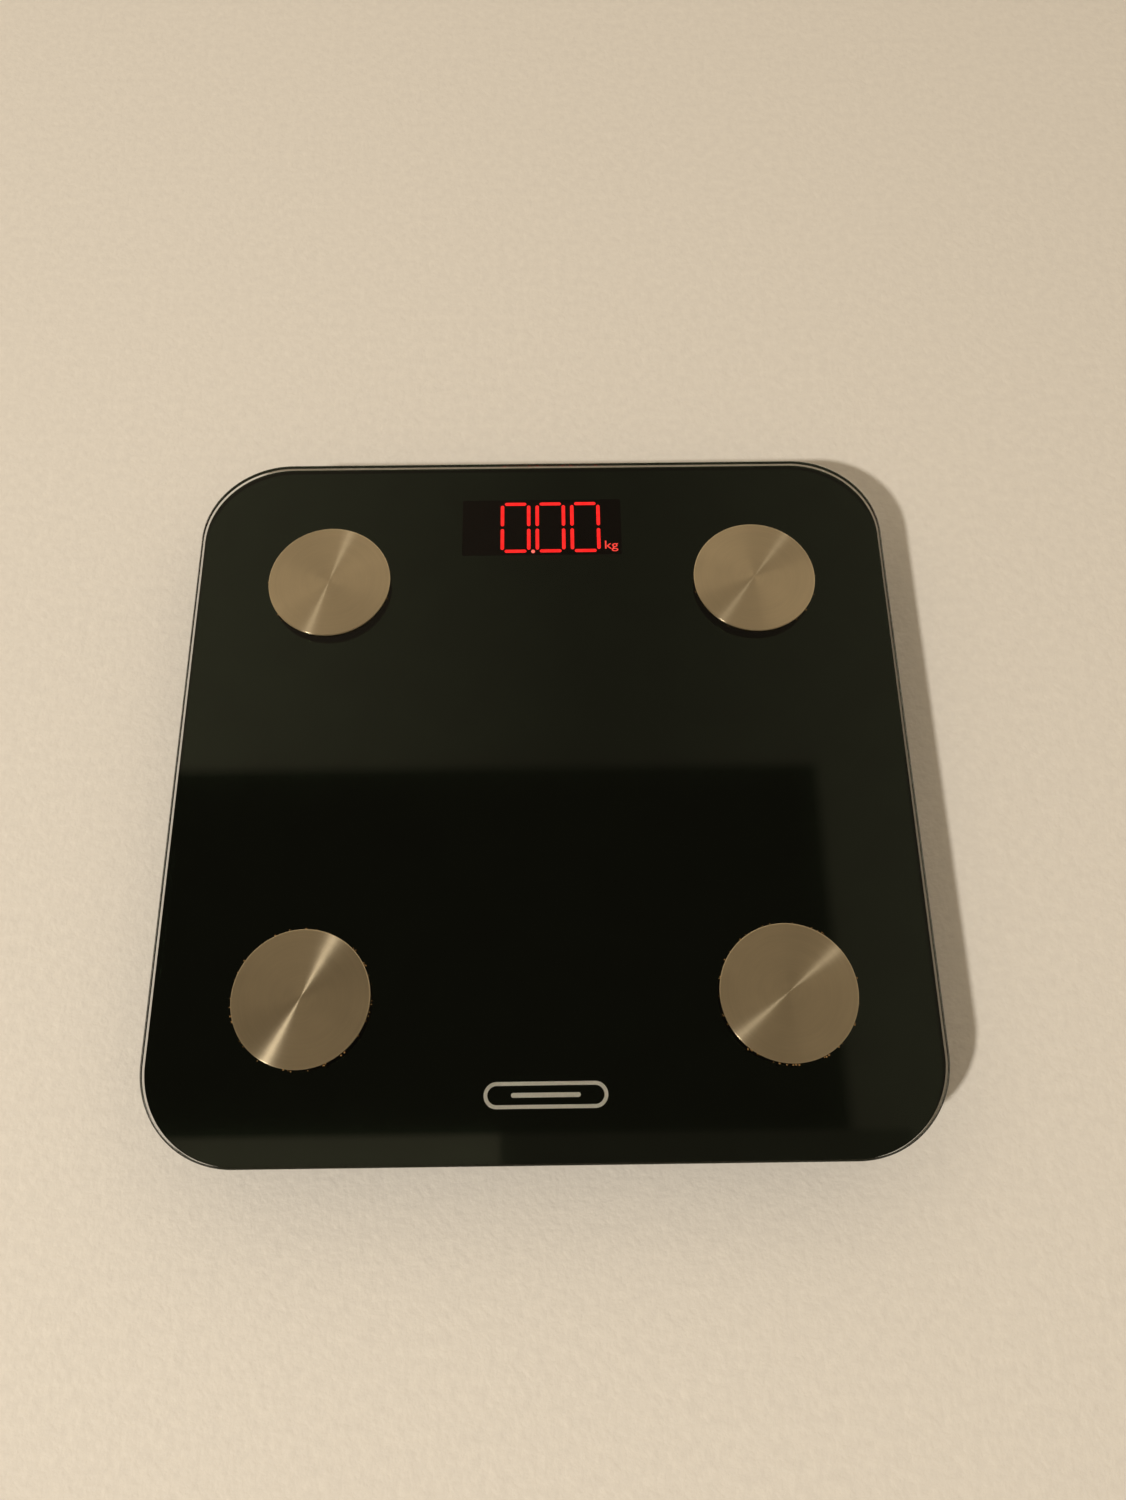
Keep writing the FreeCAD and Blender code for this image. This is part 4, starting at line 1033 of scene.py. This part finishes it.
@dataclass
class Studio:
    """Floor, light and camera."""

    camera_at: Vector = field(default_factory=lambda: Vector((0.0051, -0.1510, 0.4329)))
    looking: Vector = field(default_factory=lambda: Vector((0.00551, 0.36490, -0.93103)))
    roll_deg: float = 0.13
    lens: float = 27.6
    key_from: Vector = field(default_factory=lambda: Vector((-1.75, -1.55, 2.32)))
    key_aim: Vector = field(default_factory=lambda: Vector((0.0, 0.0, 0.02)))
    key_power: float = 75.0
    key_sheen: float = 0.2
    key_width: float = 0.2
    key_colour: Colour = (1.0, 0.905, 0.775)
    room: Colour = (1.0, 0.79, 0.54)
    room_levels: tuple[float, float] = (0.36, 1.0)
    board: Panel = Panel((-0.62, 0.62), (-0.5, 0.95), 0.12)
    board_levels: tuple[float, float, float] = (0.30, 0.14, 0.225)
    dark: Panel = Panel((-0.64, 0.241), (-0.42, 0.375), 0.006)
    dark_level: float = 0.055
    strips: tuple[tuple[Panel, float], ...] = ((Panel((-0.05, 0.29), (0.017, 0.052), 0.003), 0.115),
                                               (Panel((-0.46, -0.05), (0.017, 0.052), 0.003), 0.31))
    floor_reach: float = 30.0

    def camera(self) -> None:
        """The camera, above the near edge and looking down at the platform."""
        lens = bpy.data.cameras.new("camera")
        lens.lens = self.lens
        lens.sensor_width = 36.0
        lens.clip_start = 0.01
        holder = bpy.data.objects.new("camera", lens)
        bpy.context.scene.collection.objects.link(holder)
        back = -self.looking.normalized()
        right = Vector((0.0, 0.0, 1.0)).cross(back).normalized()
        up = back.cross(right)
        turn = Matrix((right, up, back)).transposed()
        roll = Matrix.Rotation(math.radians(self.roll_deg), 3, "Z")
        holder.matrix_world = Matrix.Translation(self.camera_at) @ (turn @ roll).to_4x4()
        bpy.context.scene.camera = holder

    def lamp(self, name: str, share: float) -> bpy.types.Object:
        """A round lamp at the key's place that faces the platform, with a share of the key's power."""
        lamp = bpy.data.lights.new(name, "AREA")
        lamp.shape = "DISK"
        lamp.size = self.key_width
        lamp.energy = self.key_power * share
        lamp.color = self.key_colour
        holder = bpy.data.objects.new(name, lamp)
        bpy.context.scene.collection.objects.link(holder)
        facing = (self.key_aim - self.key_from).to_track_quat("-Z", "Y").to_matrix().to_4x4()
        holder.matrix_world = Matrix.Translation(self.key_from) @ facing
        return holder

    def lights(self) -> None:
        """A small warm key from the left front, most of it kept out of mirrored rays."""
        self.lamp("key", self.key_sheen)
        self.lamp("key_unmirrored", 1.0 - self.key_sheen).visible_glossy = False

    def floor(self) -> None:
        """A plain pale floor."""
        web = Web("pale_floor").set(Base_Color=(0.80, 0.79, 0.76), Specular_IOR_Level=0.25)
        where = web.place()
        web.roughness(web.remap(web.noise(where, 60.0), 0.3, 0.7, 0.5, 0.62))
        web.colour(web.blend(web.remap(web.noise(where, 240.0, 4.0), 0.3, 0.7, 0.0, 1.0),
                             (0.775, 0.765, 0.74), (0.825, 0.815, 0.785)))
        web.bump(web.noise(where, 420.0, 3.0), 0.0003, 0.9)
        reach = self.floor_reach
        mesh = bpy.data.meshes.new("floor")
        mesh.from_pydata([(-reach, -reach, 0), (reach, -reach, 0), (reach, reach, 0), (-reach, reach, 0)], [],
                         [(0, 1, 2, 3)])
        mesh.materials.append(web.material)
        board = bpy.data.objects.new("floor", mesh)
        bpy.context.scene.collection.objects.link(board)

    def world(self) -> None:
        """Soft warm light all round, with a dim board overhead and dimmer panels on it for the glass.

        A direction is read as the place (x / z, y / z) where it meets a ceiling one metre up.
        """
        world = bpy.data.worlds.new("room")
        world.use_nodes = True
        web = Web.on(world.node_tree)
        split = web.node("ShaderNodeSeparateXYZ")
        web.link(web.node("ShaderNodeTexCoord").outputs["Generated"], split.inputs[0])
        up = web.maths("MAXIMUM", split.outputs["Z"], 0.02)
        across, along = (web.maths("DIVIDE", split.outputs[axis], up) for axis in "XY")
        level = web.remap(split.outputs["Y"], -0.2, 0.95, *self.room_levels)
        left, middle, right = self.board_levels
        board = web.lay(web.remap(across, -0.36, 0.02, left, middle),
                        web.remap(across, 0.1, 0.4, 0.0, 1.0), right)
        level = web.lay(level, self.board.mask(web, across, along), board)
        level = web.lay(level, self.dark.mask(web, across, along), self.dark_level)
        for panel, shine in self.strips:
            level = web.lay(level, panel.mask(web, across, along), shine)
        tint = web.node("ShaderNodeVectorMath", operation="SCALE")
        tint.inputs[0].default_value = self.room
        web.link(level, tint.inputs["Scale"])
        web.link(tint.outputs["Vector"], world.node_tree.nodes["Background"].inputs["Color"])
        bpy.context.scene.world = world

    def build(self) -> None:
        """Sets up the camera, the floor and the light."""
        bpy.context.scene.view_settings.view_transform = "Standard"
        self.camera()
        self.floor()
        self.lights()
        self.world()


def main() -> None:
    """Builds the studio, then each sub-assembly."""
    for assembly in (Studio(), GlassPlatform(), Electrodes(), Display(), Furnishings()):
        assembly.build()
        LOG.info("%s built", type(assembly).__name__)


if __name__ == "__main__":
    main()
